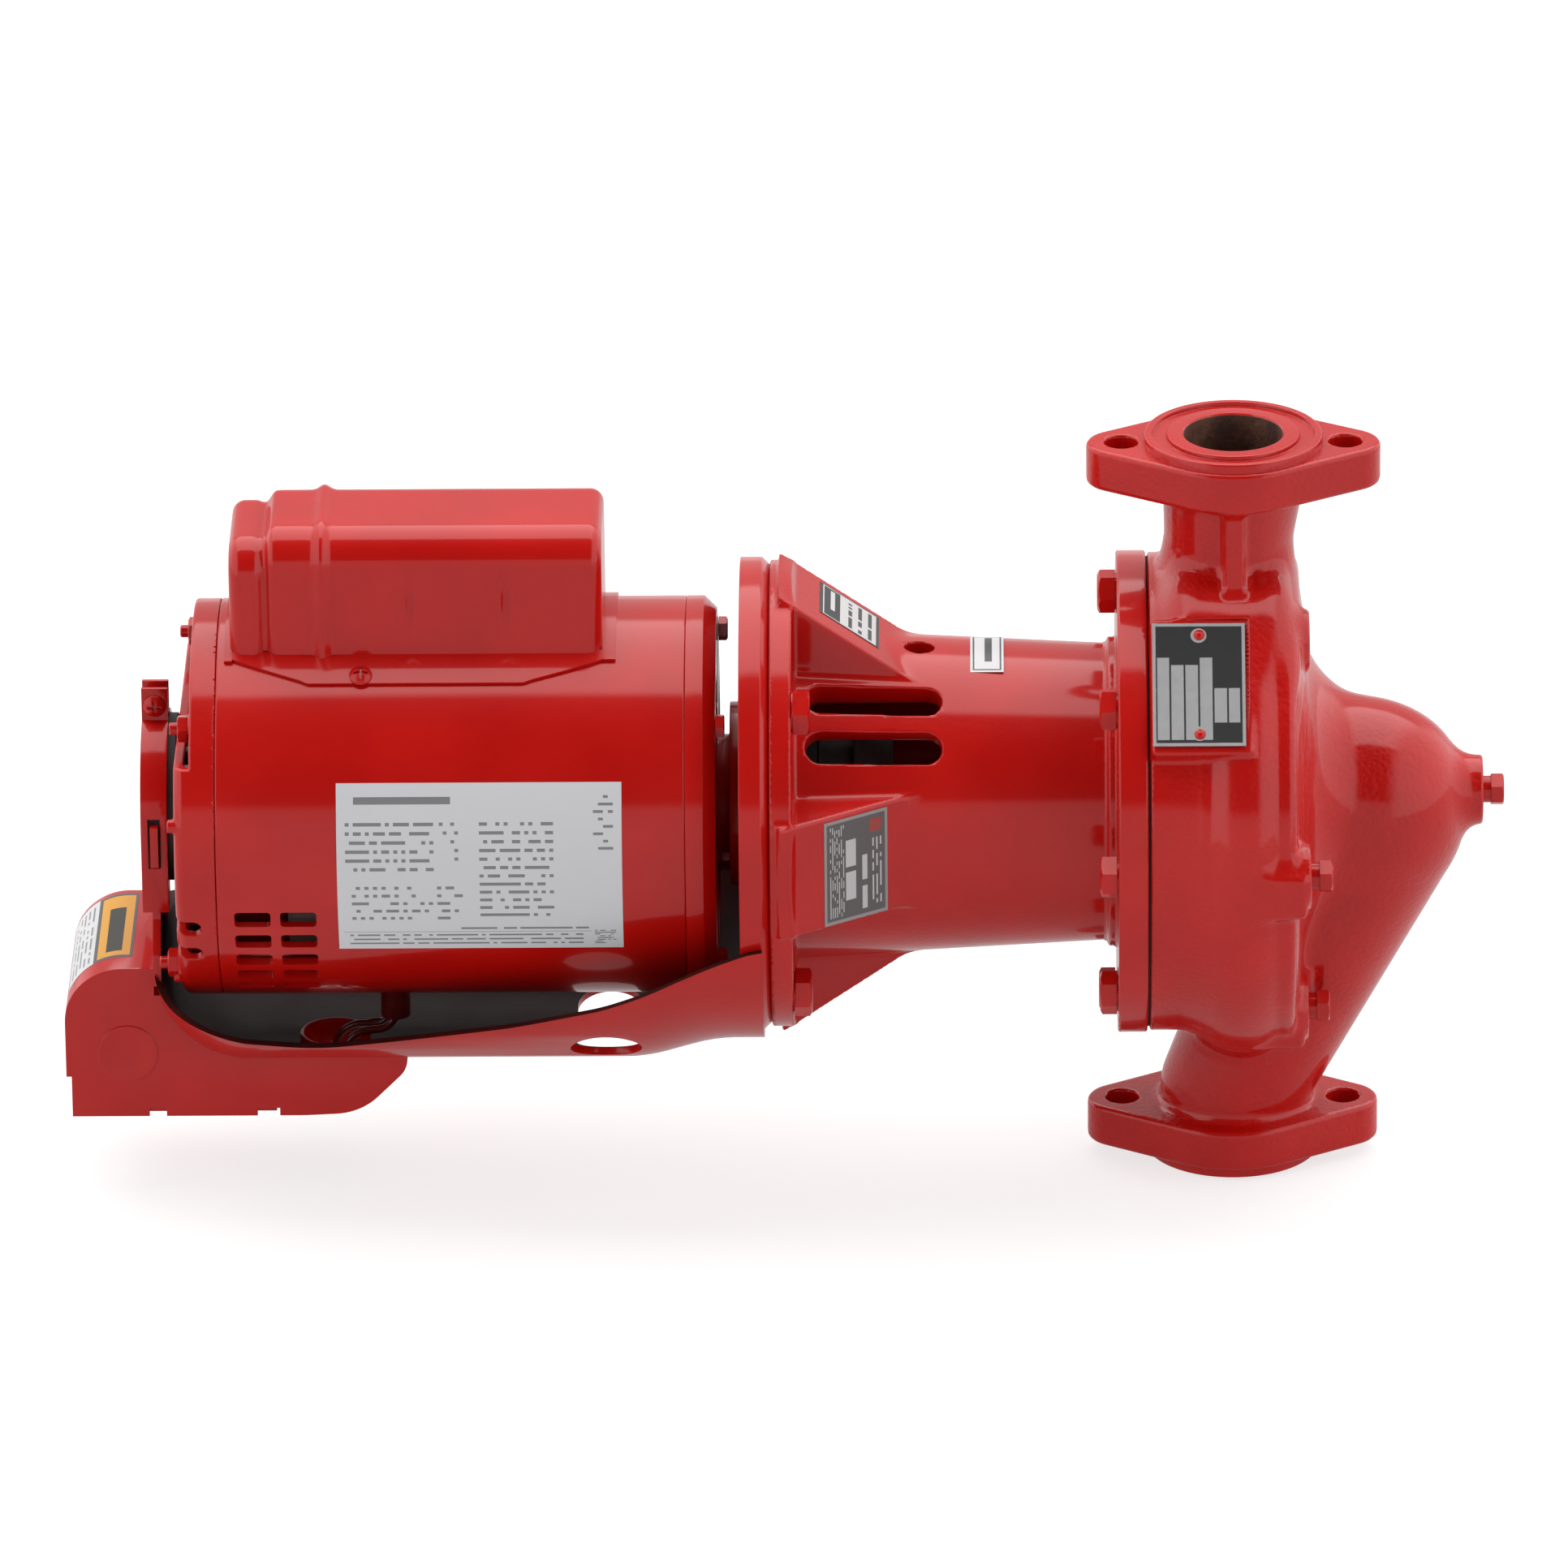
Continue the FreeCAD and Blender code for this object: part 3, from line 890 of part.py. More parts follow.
def make_junction_box():
    half, sheet = BOX_HALF_DEPTH, BOX_SHEET
    outer = rounded(box_side(0), lambda x, z: V(x, -half, z)).extrude(V(0, 2 * half, 0))
    inner = rounded(box_side(sheet), lambda x, z: V(x, sheet - half, z)).extrude(V(0, 2 * (half - sheet), 0))
    box = outer.cut(inner).cut(trough_shell(-0.01))
    box = box.cut(Part.makeBox(20, 2 * half + 2, 60, V(UPRIGHT_OUTSIDE, -half - 1, -66)))
    for x, width in ((-408, 6.5), (-366, 8.5)):
        box = box.cut(Part.makeBox(width, 2 * half + 2, 3.2, V(x - width / 2, -half - 1, BOX_BOTTOM - 0.1)))
    box = box.cut(Part.makeBox(3, 2 * half + 2, 17, V(BOX_LEFT - 1, -half - 1, BOX_BOTTOM - 0.5)))
    box = box.cut(Part.makeCylinder(BUSHING_RADIUS + 0.1, 30, V(BUSHING_AT[0], BUSHING_AT[1], -121)))
    solids = sorted(box.Solids, key=lambda s: -s.Volume)
    save("junction_box", solids[0])
    depth = 2 * (half - sheet) - 0.4
    plate = Part.makeBox(74, depth, sheet, V(BOX_LEFT + 5.5, -depth / 2, BOX_BOTTOM + 1.2))
    screws = []
    for x in BOX_SCREWS:
        plate = plate.cut(Part.makeCylinder(2, 10, V(x, 0, BOX_BOTTOM - 2)))
        screws.append(Part.makeCylinder(2, 8, V(x, 0, BOX_BOTTOM + 0.2)).fuse(
            Part.makeCylinder(4, 2.2, V(x, 0, BOX_BOTTOM - 1))))
    save("junction_box_cover", plate)
    save("box_cover_screws", *screws)


def arc_tube(points, radius):
    """Round tube along straight runs joined by tangent arcs."""
    corners = [V(*p) for p in points]
    edges, start = [], corners[0]
    for i in range(1, len(corners) - 1):
        here = corners[i]
        back, ahead = corners[i - 1] - here, corners[i + 1] - here
        reach = 0.45 * min(back.Length, ahead.Length)
        back.normalize()
        ahead.normalize()
        half = back.getAngle(ahead) / 2
        middle = V(*(back + ahead)).normalize()
        r = reach * math.tan(half)
        a, b = here + back * reach, here + ahead * reach
        m = here + middle * (r / math.sin(half) - r)
        edges += [Part.makeLine(start, a), Part.Arc(a, m, b).toShape()]
        start = b
    edges.append(Part.makeLine(start, corners[-1]))
    path = Part.Wire(edges)
    profile = Part.Wire([Part.makeCircle(radius, corners[0], corners[1] - corners[0])])
    return path.makePipeShell([profile], True, True)


def make_leads():
    bx, by = BUSHING_AT
    lx, ly = LEAD_EXIT
    bushing = Part.makeCylinder(BUSHING_RADIUS, 20, V(bx, by, -111.5)).cut(
        Part.makeCylinder(BUSHING_RADIUS - BUSHING_WALL, 22, V(bx, by, -112)))
    save("lead_bushing", bushing)
    grommet = Part.makeCylinder(LEAD_EXIT_RADIUS, 12.5, V(lx, ly, -84.5)).cut(
        Part.makeCylinder(LEAD_EXIT_RADIUS - 1, 14, V(lx, ly, -85)))
    save("lead_grommet", grommet)
    leads = []
    for dx, dy, drop in ((1.7, 1.0, 0), (-1.7, 1.0, 0.8), (0, -2.0, 0.4)):
        route = [(lx + dx, ly + dy, -74), (lx + dx, ly + 1.5 * dy, -88.4 - drop),
                 (bx + 5 + 2 * dx, by + 3 * dy, -88.8 - drop), (bx + 1 + 2 * dx, by + 3.4 * dy, -109)]
        leads.append(arc_tube(route, LEAD_RADIUS))
    save("motor_leads", *leads)


# ---------------------------------------------------------------- nameplate

def make_nameplate():
    face = PLATE_PAD_HEIGHT
    front = -face - PLATE_THICK
    plate = Part.makeBox(PLATE_WIDE, PLATE_THICK, PLATE_LONG, V(CASING_FACE + 1, front, -PLATE_LONG / 2))
    rivets = []
    for z in RIVET_PLACES:
        plate = plate.cut(Part.makeCylinder(RIVET_RADIUS, 4, V(RIVET_STATION, -face - 2, z), ALONG_Y))
        shank = Part.makeCylinder(RIVET_RADIUS, 7, V(RIVET_STATION, -face - 1, z), ALONG_Y)
        head = Part.makeSphere(2.6, V(RIVET_STATION, front + 1.4, z)).common(
            Part.makeBox(10, 10, 10, V(RIVET_STATION - 4.5, front - 10, z - 5)))
        rivets.append(spun(shank.fuse(head), PLATE_PAD_ANGLE))
    save("nameplate", spun(plate, PLATE_PAD_ANGLE))
    save("nameplate_rivets", *rivets)


os.makedirs("parts", exist_ok=True)
make_casing()
make_casing_gasket()
make_pipe_plugs()
make_casing_bolts()
make_impeller()
make_impeller_nut()
make_seal()
make_pump_shaft()
ball_bearings(PUMP_BEARINGS, "pump")
make_bearing_bracket()
make_coupler()
make_bracket_bolts()
make_motor_shell()
make_end_bells()
make_stator()
make_rotor()
make_fan()
ball_bearings(MOTOR_BEARINGS, "motor")
make_start_switch()
make_tie_bolts()
make_thermal_protector()
make_capacitor()
make_capacitor_cover()
make_cradle()
make_rubber_rings()
make_strap()
make_junction_box()
make_leads()
make_nameplate()
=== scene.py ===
import json
import math

import bmesh
import bpy
import numpy as np
import openvdb
from mathutils import Matrix, Vector


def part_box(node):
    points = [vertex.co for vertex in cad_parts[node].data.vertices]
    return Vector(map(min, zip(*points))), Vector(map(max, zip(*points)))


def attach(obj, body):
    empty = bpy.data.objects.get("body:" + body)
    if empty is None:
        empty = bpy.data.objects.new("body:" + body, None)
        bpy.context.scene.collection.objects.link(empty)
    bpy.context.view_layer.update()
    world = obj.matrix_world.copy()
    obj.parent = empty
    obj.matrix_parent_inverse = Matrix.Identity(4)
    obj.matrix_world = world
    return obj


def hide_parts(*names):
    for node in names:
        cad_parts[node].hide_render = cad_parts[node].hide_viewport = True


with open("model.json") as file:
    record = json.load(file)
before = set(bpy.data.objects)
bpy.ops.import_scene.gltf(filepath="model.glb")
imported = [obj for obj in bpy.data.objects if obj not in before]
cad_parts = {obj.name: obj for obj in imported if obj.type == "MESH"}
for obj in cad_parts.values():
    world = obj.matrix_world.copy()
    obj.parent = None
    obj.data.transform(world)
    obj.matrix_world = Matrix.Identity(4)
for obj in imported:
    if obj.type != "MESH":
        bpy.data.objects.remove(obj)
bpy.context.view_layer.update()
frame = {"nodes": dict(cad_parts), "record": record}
print("frame loaded:", len(frame["nodes"]), "nodes")

mm = 0.001
shellLow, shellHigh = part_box("motor_shell")
shaftHeight = (shellLow[2] + shellHigh[2]) / 2  # shapes below are in mm from the shaft, lifted when made


def span(node):  # a CAD node's box in mm about the shaft
    low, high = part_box(node)
    lift = Vector((0, 0, shaftHeight))
    return (Vector(low) - lift) / mm, (Vector(high) - lift) / mm


# node trees

class Wire:  # an output socket that takes part in Python sums
    def __init__(self, net, socket):
        self.net = net
        self.socket = socket

    def join(self, operation, *others):
        values = [other.socket if isinstance(other, Wire) else other for other in others]
        return self.net.add(self.net.mathType, {"operation": operation}, dict(enumerate(values))).out(0)

    def __add__(self, other):
        return self.join("ADD", self, other)

    def __radd__(self, other):
        return self.join("ADD", other, self)

    def __sub__(self, other):
        return self.join("SUBTRACT", self, other)

    def __rsub__(self, other):
        return self.join("SUBTRACT", other, self)

    def __mul__(self, other):
        return self.join("MULTIPLY", self, other)

    def __rmul__(self, other):
        return self.join("MULTIPLY", other, self)

    def __truediv__(self, other):
        return self.join("DIVIDE", self, other)

    def __lt__(self, other):
        return self.join("LESS_THAN", self, other)

    def __gt__(self, other):
        return self.join("GREATER_THAN", self, other)

    def size(self):
        return self.join("ABSOLUTE", self)

    def highest(self, other):
        return self.join("MAXIMUM", self, other)


class Placed:  # one node of a tree
    def __init__(self, net, node):
        self.net = net
        self.node = node

    def out(self, key=0):
        return Wire(self.net, self.node.outputs[key])


class Net:
    mathType = "ShaderNodeMath"

    def __init__(self, tree):
        self.tree = tree

    def add(self, kind, settings=None, values=None):
        node = self.tree.nodes.new(kind)
        for key, value in (settings or {}).items():
            if key == "stops":
                ramp = node.color_ramp
                while len(ramp.elements) < len(value):
                    ramp.elements.new(0.5)
                for element, (place, colour) in zip(ramp.elements, value):
                    element.position = place
                    element.color = colour
            else:
                setattr(node, key, value)
        for key, value in (values or {}).items():
            socket = node.inputs[key]
            if isinstance(value, Wire):
                value = value.socket
            if isinstance(value, bpy.types.NodeSocket):
                self.tree.links.new(value, socket)
            else:
                socket.default_value = value
        return Placed(self, node)


# shader pieces

def grey(v):
    return (v, v, v, 1)


def newMaterial(name):
    material = bpy.data.materials.new(name)
    material.use_nodes = True
    material.node_tree.nodes.clear()
    net = Net(material.node_tree)
    place = net.add("ShaderNodeTexCoord").out("Object")
    return material, net, place


def noise(net, place, scale, detail=2.0, roughness=0.5):
    values = {"Vector": place, "Scale": scale, "Detail": detail, "Roughness": roughness}
    return net.add("ShaderNodeTexNoise", {}, values).out(0)


def ramp(net, fac, stops):
    return net.add("ShaderNodeValToRGB", {"stops": stops}, {"Fac": fac}).out(0)


def blendColour(net, fac, a, b):
    node = net.add("ShaderNodeMix", {"data_type": "RGBA"}, {0: fac, 6: a, 7: b})
    return Wire(net, node.node.outputs[2])


def bump(net, height, distance, strength, normal=None):
    values = {"Height": height, "Distance": distance, "Strength": strength}
    if normal is not None:
        values["Normal"] = normal
    return net.add("ShaderNodeBump", {}, values).out(0)


def finishMaterial(net, values):
    shader = net.add("ShaderNodeBsdfPrincipled", {}, values)
    net.add("ShaderNodeOutputMaterial", {}, {"Surface": shader.out(0)})


paint = {
    "deep": (0.470, 0.0030, 0.0012, 1),
    "warm": (0.540, 0.0052, 0.0024, 1),
    "worn": (0.300, 0.0070, 0.0050, 1),
}


def redPaint(name, rough, castHeight, waveHeight, chips, gloss=0.7):
    material, net, place = newMaterial(name)
    broad = noise(net, place, 26, 3)
    fine = noise(net, place, 700, 2)
    colour = blendColour(net, ramp(net, broad, [(0.35, grey(0)), (0.7, grey(1))]), paint["deep"], paint["warm"])
    speck = ramp(net, noise(net, place, 380, 4, 0.7), [(chips, grey(0)), (chips + 0.03, grey(1))])
    colour = blendColour(net, speck, colour, paint["worn"])
    peel = bump(net, noise(net, place, 300, 3, 0.55), waveHeight, 1.0)
    lumps = noise(net, place, 190, 4, 0.55)
    cells = net.add("ShaderNodeTexVoronoi", {}, {"Vector": place, "Scale": 420}).out(0)
    pits = ramp(net, cells, [(0.0, grey(0)), (0.6, grey(1))])
    surface = bump(net, lumps + pits * 0.35, castHeight, 1.0, peel) if castHeight else peel
    roughness = broad * 0.08 + (rough - 0.04) + fine * 0.03
    finishMaterial(net, {
        "Base Color": colour, "Roughness": roughness, "Normal": surface,
        "Coat Weight": gloss, "Coat Roughness": 0.09, "Specular IOR Level": 0.12,
    })
    return material


def plainFinish(name, dark, light, metallic, rough, scale=120, bumpHeight=0.0002, stretch=(1, 1, 1), coat=0.0):
    material, net, place = newMaterial(name)
    mapped = net.add("ShaderNodeMapping", {}, {"Vector": place, "Scale": stretch}).out(0)
    mottle = noise(net, mapped, scale, 4, 0.6)
    colour = blendColour(net, mottle, dark, light)
    finishMaterial(net, {
        "Base Color": colour, "Metallic": metallic, "Roughness": mottle * 0.15 + (rough - 0.07),
        "Normal": bump(net, mottle, bumpHeight, 0.6), "Coat Weight": coat,
    })
    return material


def rustyIron():
    material, net, place = newMaterial("bareRustyIron")
    patch = noise(net, place, 90, 6, 0.65)
    grain = noise(net, place, 520, 3)
    colour = ramp(net, patch, [
        (0.3, (0.035, 0.018, 0.014, 1)), (0.5, (0.10, 0.035, 0.02, 1)), (0.72, (0.20, 0.085, 0.045, 1))])
    finishMaterial(net, {
        "Base Color": colour, "Roughness": patch * 0.25 + 0.5, "Normal": bump(net, grain + patch, 0.0004, 0.8),
    })
    return material


# painted shade: near-black red standing for the shade inside the tray under the motor, not a real undercoat
def troughPrimer():
    material, net, place = newMaterial("shadedUndercoat")
    mist = noise(net, place, 60, 5, 0.7)
    colour = blendColour(net, mist, (0.016, 0.004, 0.004, 1), (0.060, 0.009, 0.008, 1))
    finishMaterial(net, {
        "Base Color": colour, "Roughness": mist * 0.2 + 0.40, "Specular IOR Level": 0.16,
        "Normal": bump(net, noise(net, place, 400, 3), 0.0001, 0.7),
    })
    return material


finishes = {
    "smoothEnamel": redPaint("smoothEnamel", 0.40, 0, 0.00004, 0.80),
    "shellEnamel": redPaint("shellEnamel", 0.38, 0, 0.00002, 0.82, 0.75),
    "castEnamel": redPaint("castEnamel", 0.42, 0.00050, 0.00006, 0.78, 0.7),
    "finerCastEnamel": redPaint("finerCastEnamel", 0.40, 0.00012, 0.00004, 0.79, 0.7),
    "boltEnamel": redPaint("boltEnamel", 0.40, 0.00008, 0.00006, 0.66, 0.65),
    "bareRustyIron": rustyIron(),
    "shadedUndercoat": troughPrimer(),
}
plain = {  # dark colour, light colour, metallic, roughness, then scale, bump height, stretch and coat
    "groundSteel": ((0.42, 0.42, 0.44, 1), (0.62, 0.62, 0.64, 1), 1.0, 0.28, 300, 0.00003, (0.2, 1, 1)),
    "greyIron": ((0.05, 0.048, 0.046, 1), (0.12, 0.115, 0.11, 1), 0.7, 0.6, 200, 0.0003),
    "laminations": ((0.12, 0.12, 0.13, 1), (0.26, 0.26, 0.28, 1), 0.9, 0.45, 60, 0.0002, (30, 1, 1)),
    "varnishedCopper": ((0.045, 0.026, 0.018, 1), (0.11, 0.07, 0.05, 1),
        0.3, 0.45, 260, 0.0004, (1, 4, 4), 0.3),
    "castAluminium": ((0.5, 0.5, 0.52, 1), (0.7, 0.7, 0.72, 1), 0.9, 0.4, 160, 0.0002),
    "castBronze": ((0.30, 0.19, 0.08, 1), (0.5, 0.34, 0.15, 1), 0.9, 0.42, 140, 0.0003),
    "mattRubber": ((0.010, 0.010, 0.011, 1), (0.030, 0.029, 0.029, 1), 0.0, 0.68, 240, 0.0002),
    "gasketFibre": ((0.012, 0.010, 0.010, 1), (0.035, 0.03, 0.028, 1), 0.0, 0.85, 300, 0.0002),
    "lappedCarbon": ((0.02, 0.02, 0.022, 1), (0.045, 0.045, 0.05, 1), 0.2, 0.3, 200, 0.00005),
    "darkPlastic": ((0.016, 0.016, 0.017, 1), (0.035, 0.035, 0.036, 1), 0.0, 0.5, 180, 0.0001),
    "paintedWire": ((0.10, 0.004, 0.004, 1), (0.20, 0.008, 0.006, 1), 0.0, 0.35, 160, 0.0002, (1, 1, 1), 0.4),
}
for name, values in plain.items():
    finishes[name] = plainFinish(name, *values)
slotFinish = {
    "cast_red": "castEnamel", "enamel_red": "smoothEnamel", "fastener_red": "boltEnamel",
    "polished_steel": "groundSteel", "bare_iron": "greyIron", "lamination_steel": "laminations",
    "copper_wire": "varnishedCopper", "cast_aluminium": "castAluminium", "bronze": "castBronze",
    "black_rubber": "mattRubber", "gasket_sheet": "gasketFibre", "seal_carbon": "lappedCarbon",
    "black_plastic": "darkPlastic", "painted_leads": "paintedWire", "etched_plate": "castAluminium",
}
for part in frame["record"]["subparts"]:
    node = frame["nodes"].get(part["node"])
    if node is not None:
        node.data.materials.clear()
        node.data.materials.append(finishes[slotFinish[part["material_slot"]]])
print("materials ready:", len(finishes))


# making pieces

def smoothed(piece, angle):
    piece.data.shade_smooth()
    piece.data.set_sharp_from_angle(angle=math.radians(angle))
    return piece


def ringFaces(rings, count):  # walls between rings of as many points, without ends
    return [(n * count + i, n * count + (i + 1) % count, (n + 1) * count + (i + 1) % count, (n + 1) * count + i)
            for n in range(rings - 1) for i in range(count)]


def endFaces(rings, count):
    return [tuple(range(count)), tuple(range((rings - 1) * count, rings * count))]


def circleAt(radius, steps, x=0.0, y=0.0):
    turns = [2 * math.pi * i / steps for i in range(steps)]
    return [(x + radius * math.cos(a), y + radius * math.sin(a)) for a in turns]


def newPiece(name, vertices, faces, material, smooth=30):
    mesh = bpy.data.meshes.new(name)
    lifted = [(x * mm, y * mm, z * mm + shaftHeight) for x, y, z in vertices]
    mesh.from_pydata(lifted, [], faces)
    mesh.update()
    if smooth:
        mesh.shade_smooth()
        if smooth < 180:
            mesh.set_sharp_from_angle(angle=math.radians(smooth))
    if material:
        mesh.materials.append(finishes[material])
    piece = bpy.data.objects.new(name, mesh)
    bpy.context.scene.collection.objects.link(piece)
    return piece


def bake(piece):  # plain mesh from the evaluated object, modifiers gone
    graph = bpy.context.evaluated_depsgraph_get()
    final = piece.evaluated_get(graph)
    mesh = bpy.data.meshes.new_from_object(final, preserve_all_data_layers=True, depsgraph=graph)
    piece.modifiers.clear()
    old = piece.data
    piece.data = mesh
    mesh.name = piece.name
    if old.users == 0:
        bpy.data.meshes.remove(old)
    return piece


def joinPieces(name, pieces):  # several meshes become one piece
    whole = bmesh.new()
    materials = []
    for piece in pieces:
        offset = {}
        for i, material in enumerate(piece.data.materials):
            if material not in materials:
                materials.append(material)
            offset[i] = materials.index(material)
        before = len(whole.faces)
        whole.from_mesh(piece.data)
        whole.faces.ensure_lookup_table()
        for face in whole.faces[before:]:
            face.material_index = offset.get(face.material_index, 0)
    mesh = bpy.data.meshes.new(name)
    whole.to_mesh(mesh)
    whole.free()
    for material in materials:
        mesh.materials.append(material)
    for piece in pieces:
        bpy.data.objects.remove(piece)
    joined = bpy.data.objects.new(name, mesh)
    bpy.context.scene.collection.objects.link(joined)
    return joined


def settle(piece, slot, body, *nodes):
    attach(piece, body)
    if nodes:
        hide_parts(*nodes)
    print("  made", piece.name, len(piece.data.polygons))
    return piece


def roundCorners(points, steps=5):  # (a, b, radius) corners to an outline with arcs
    outline = []
    count = len(points)
    for i, (a, b, r) in enumerate(points):
        here = Vector((a, b))
        back = (Vector(points[i - 1][:2]) - here)
        ahead = (Vector(points[(i + 1) % count][:2]) - here)
        if r <= 0 or back.length < 1e-6 or ahead.length < 1e-6:
            outline.append((a, b))
            continue
        back.normalize()
        ahead.normalize()
        half = back.angle(ahead) / 2
        middle = (back + ahead).normalized()
        centre = here + middle * (r / math.sin(half))
        start = here + back * (r / math.tan(half)) - centre
        turn = start.angle_signed(here + ahead * (r / math.tan(half)) - centre)
        for k in range(steps + 1):
            arm = Matrix.Rotation(-turn * k / steps, 2) @ start
            outline.append(tuple(centre + arm))
    return outline


def lathe(name, outline, material, steps=128, smooth=32):  # (station, radius) outline round the shaft
    vertices, faces = [], []
    count = len(outline)
    for i in range(steps):
        a = 2 * math.pi * i / steps
        for x, r in outline:
            vertices.append((x, -r * math.cos(a), r * math.sin(a)))
    for i in range(steps):
        j = (i + 1) % steps
        for k in range(count):
            m = (k + 1) % count
            faces.append((i * count + k, i * count + m, j * count + m, j * count + k))
    piece = newPiece(name, vertices, faces, material, 0)
    tidy(piece, smooth)
    return piece


def tidy(piece, smooth=32, merge=0.00001):  # merges doubles, turns faces outwards, smooths
    work = bmesh.new()
    work.from_mesh(piece.data)
    bmesh.ops.remove_doubles(work, verts=work.verts, dist=merge)
    bmesh.ops.dissolve_degenerate(work, edges=work.edges, dist=merge / 10)
    bmesh.ops.recalc_face_normals(work, faces=work.faces)
    work.to_mesh(piece.data)
    work.free()
    return smoothed(piece, smooth)


# rounded solids as distance fields, for castings and deep drawn steel

def rod(axial, radial, a0, a1, r, soft=0.0):
    q = np.abs(axial - (a0 + a1) / 2) - (a1 - a0) / 2 + soft
    w = radial - r + soft
    return np.minimum(np.maximum(q, w), 0) + np.hypot(np.maximum(q, 0), np.maximum(w, 0)) - soft


def slab(x, y, z, low, high, soft=0.0):
    q = [np.abs(v - (a + b) / 2) - (b - a) / 2 + soft for v, a, b in zip((x, y, z), low, high)]
    outside = np.sqrt(sum(np.maximum(v, 0) ** 2 for v in q))
    return outside + np.minimum(np.maximum(np.maximum(q[0], q[1]), q[2]), 0) - soft


def ball(x, y, z, centre, r):
    return np.sqrt((x - centre[0]) ** 2 + (y - centre[1]) ** 2 + (z - centre[2]) ** 2) - r


def taper(x, y, z, a, b, r1, r2):  # hull of two balls
    ba = np.array(b, float) - np.array(a, float)
    l2 = float(ba @ ba)
    rr = r1 - r2
    a2 = l2 - rr * rr
    px, py, pz = x - a[0], y - a[1], z - a[2]
    along = px * ba[0] + py * ba[1] + pz * ba[2]
    past = along - l2
    x2 = (px * l2 - ba[0] * along) ** 2 + (py * l2 - ba[1] * along) ** 2 + (pz * l2 - ba[2] * along) ** 2
    y2 = along * along * l2
    z2 = past * past * l2
    k = np.sign(rr) * rr * rr * x2
    far = np.sqrt(x2 + z2) / l2 - r2
    near = np.sqrt(x2 + y2) / l2 - r1
    side = (np.sqrt(x2 * a2 / l2) + along * rr) / l2 - r1
    return np.where(np.sign(past) * a2 * z2 > k, far, np.where(np.sign(along) * a2 * y2 < k, near, side))


def melt(a, b, k):  # union with a fillet of about k
    h = np.maximum(k - np.abs(a - b), 0) / k
    return np.minimum(a, b) - h * h * k / 4


def carve(a, b, k=0.8):  # a without b
    return -melt(-a, b, k)


def keep(a, b, k=0.8):
    return -melt(-a, -b, k)


def roundEdge(a, b, r):  # edge of radius r where two walls meet, both given r inside
    return np.hypot(np.maximum(a, 0), np.maximum(b, 0)) + np.minimum(np.maximum(a, b), 0) - r


def castPiece(name, field, low, high, cell, material):
    low, high = np.array(low, float), np.array(high, float)
    count = np.ceil((high - low) / cell).astype(int) + 1
    axes = np.ix_(*(low[i] + cell * np.arange(count[i]) for i in range(3)))
    values = np.broadcast_to(field(*axes), count).astype(np.float32)
    grid = openvdb.FloatGrid(3 * cell)
    grid.copyFromArray(np.ascontiguousarray(values))
    points, quads = grid.convertToQuads(isovalue=0.0)
    points = low + np.asarray(points, float) * cell
    quads = np.asarray(quads, int)
    step = 0.04
    for i in range(3):  # walk each corner onto the true surface
        x, y, z = points.T
        here = field(x, y, z)
        slope = np.stack([
            field(x + step, y, z) - field(x - step, y, z),
            field(x, y + step, z) - field(x, y - step, z),
            field(x, y, z + step) - field(x, y, z - step),
        ], 1) / (2 * step)
        steep = np.maximum(np.sum(slope ** 2, 1, keepdims=True), 0.25)
        if i < 2:
            points = points - np.clip(here, -cell / 2, cell / 2)[:, None] * slope / steep
    a, b, c, d = (points[quads[:, i]] for i in range(4))
    if np.sum(np.cross(c - a, d - b) * (a + c)) < 0:
        quads = quads[:, ::-1]
    piece = newPiece(name, points.tolist(), quads.tolist(), material, 180)
    normals = slope / np.maximum(np.linalg.norm(slope, axis=1, keepdims=True), 1e-6)
    piece.data.normals_split_custom_set_from_vertices(normals.tolist())
    return piece


# volute casing

volute = {
    "face": 146.0, "flangeThick": 16.0, "faceRaise": 3.5, "boltReach": 42.0, "boltHole": 6.35,
    "middle": 35.5, "ear": 13.2, "rim": 90.5, "scrollAt": 3.0, "tube": 21.7, "mean": 74.65, "growth": 3.35,
    "plateAngle": 48.0, "plateFlat": 93.0, "cell": 1.25,
}


def outwards(y, z, degrees):  # distance out along an angle from the front, and sideways from it
    a = math.radians(degrees)
    return -y * math.cos(a) + z * math.sin(a), y * math.sin(a) + z * math.cos(a)


def pointAt(degrees, radius):
    a = math.radians(degrees)
    return -radius * math.cos(a), radius * math.sin(a)


def flangePlan(x, y):
    zero = x * 0 + y * 0
    reach = volute["boltReach"]
    return taper(np.abs(x), y, zero, (0, 0, 0), (reach, 0, 0), volute["middle"], volute["ear"])


def chamber(x, y, z):
    r = np.hypot(y, z)
    room = melt(rod(x, r, -40, 5, 72, 1), np.hypot(x - 4, r - 71) - 14.5, 2)
    room = melt(room, rod(x, r, 0, 18.5, 72, 3), 2)
    eye = rod(x, r, 10, 54, 24, 1)
    rise = taper(x, y, z, (0.5, 0, -128), (37, 0, -42), 18.5, 26)
    elbow = melt(rise, taper(x, y, z, (37, 0, -42), (52.5, 0, -3), 26, 28), 3)
    up = rod(z, np.hypot(x, y), 62, 160, 18.5)
    down = rod(z, np.hypot(x, y), -160, -124, 18.5)
    return np.minimum(np.minimum(melt(room, up, 3), down), melt(elbow, eye, 3))


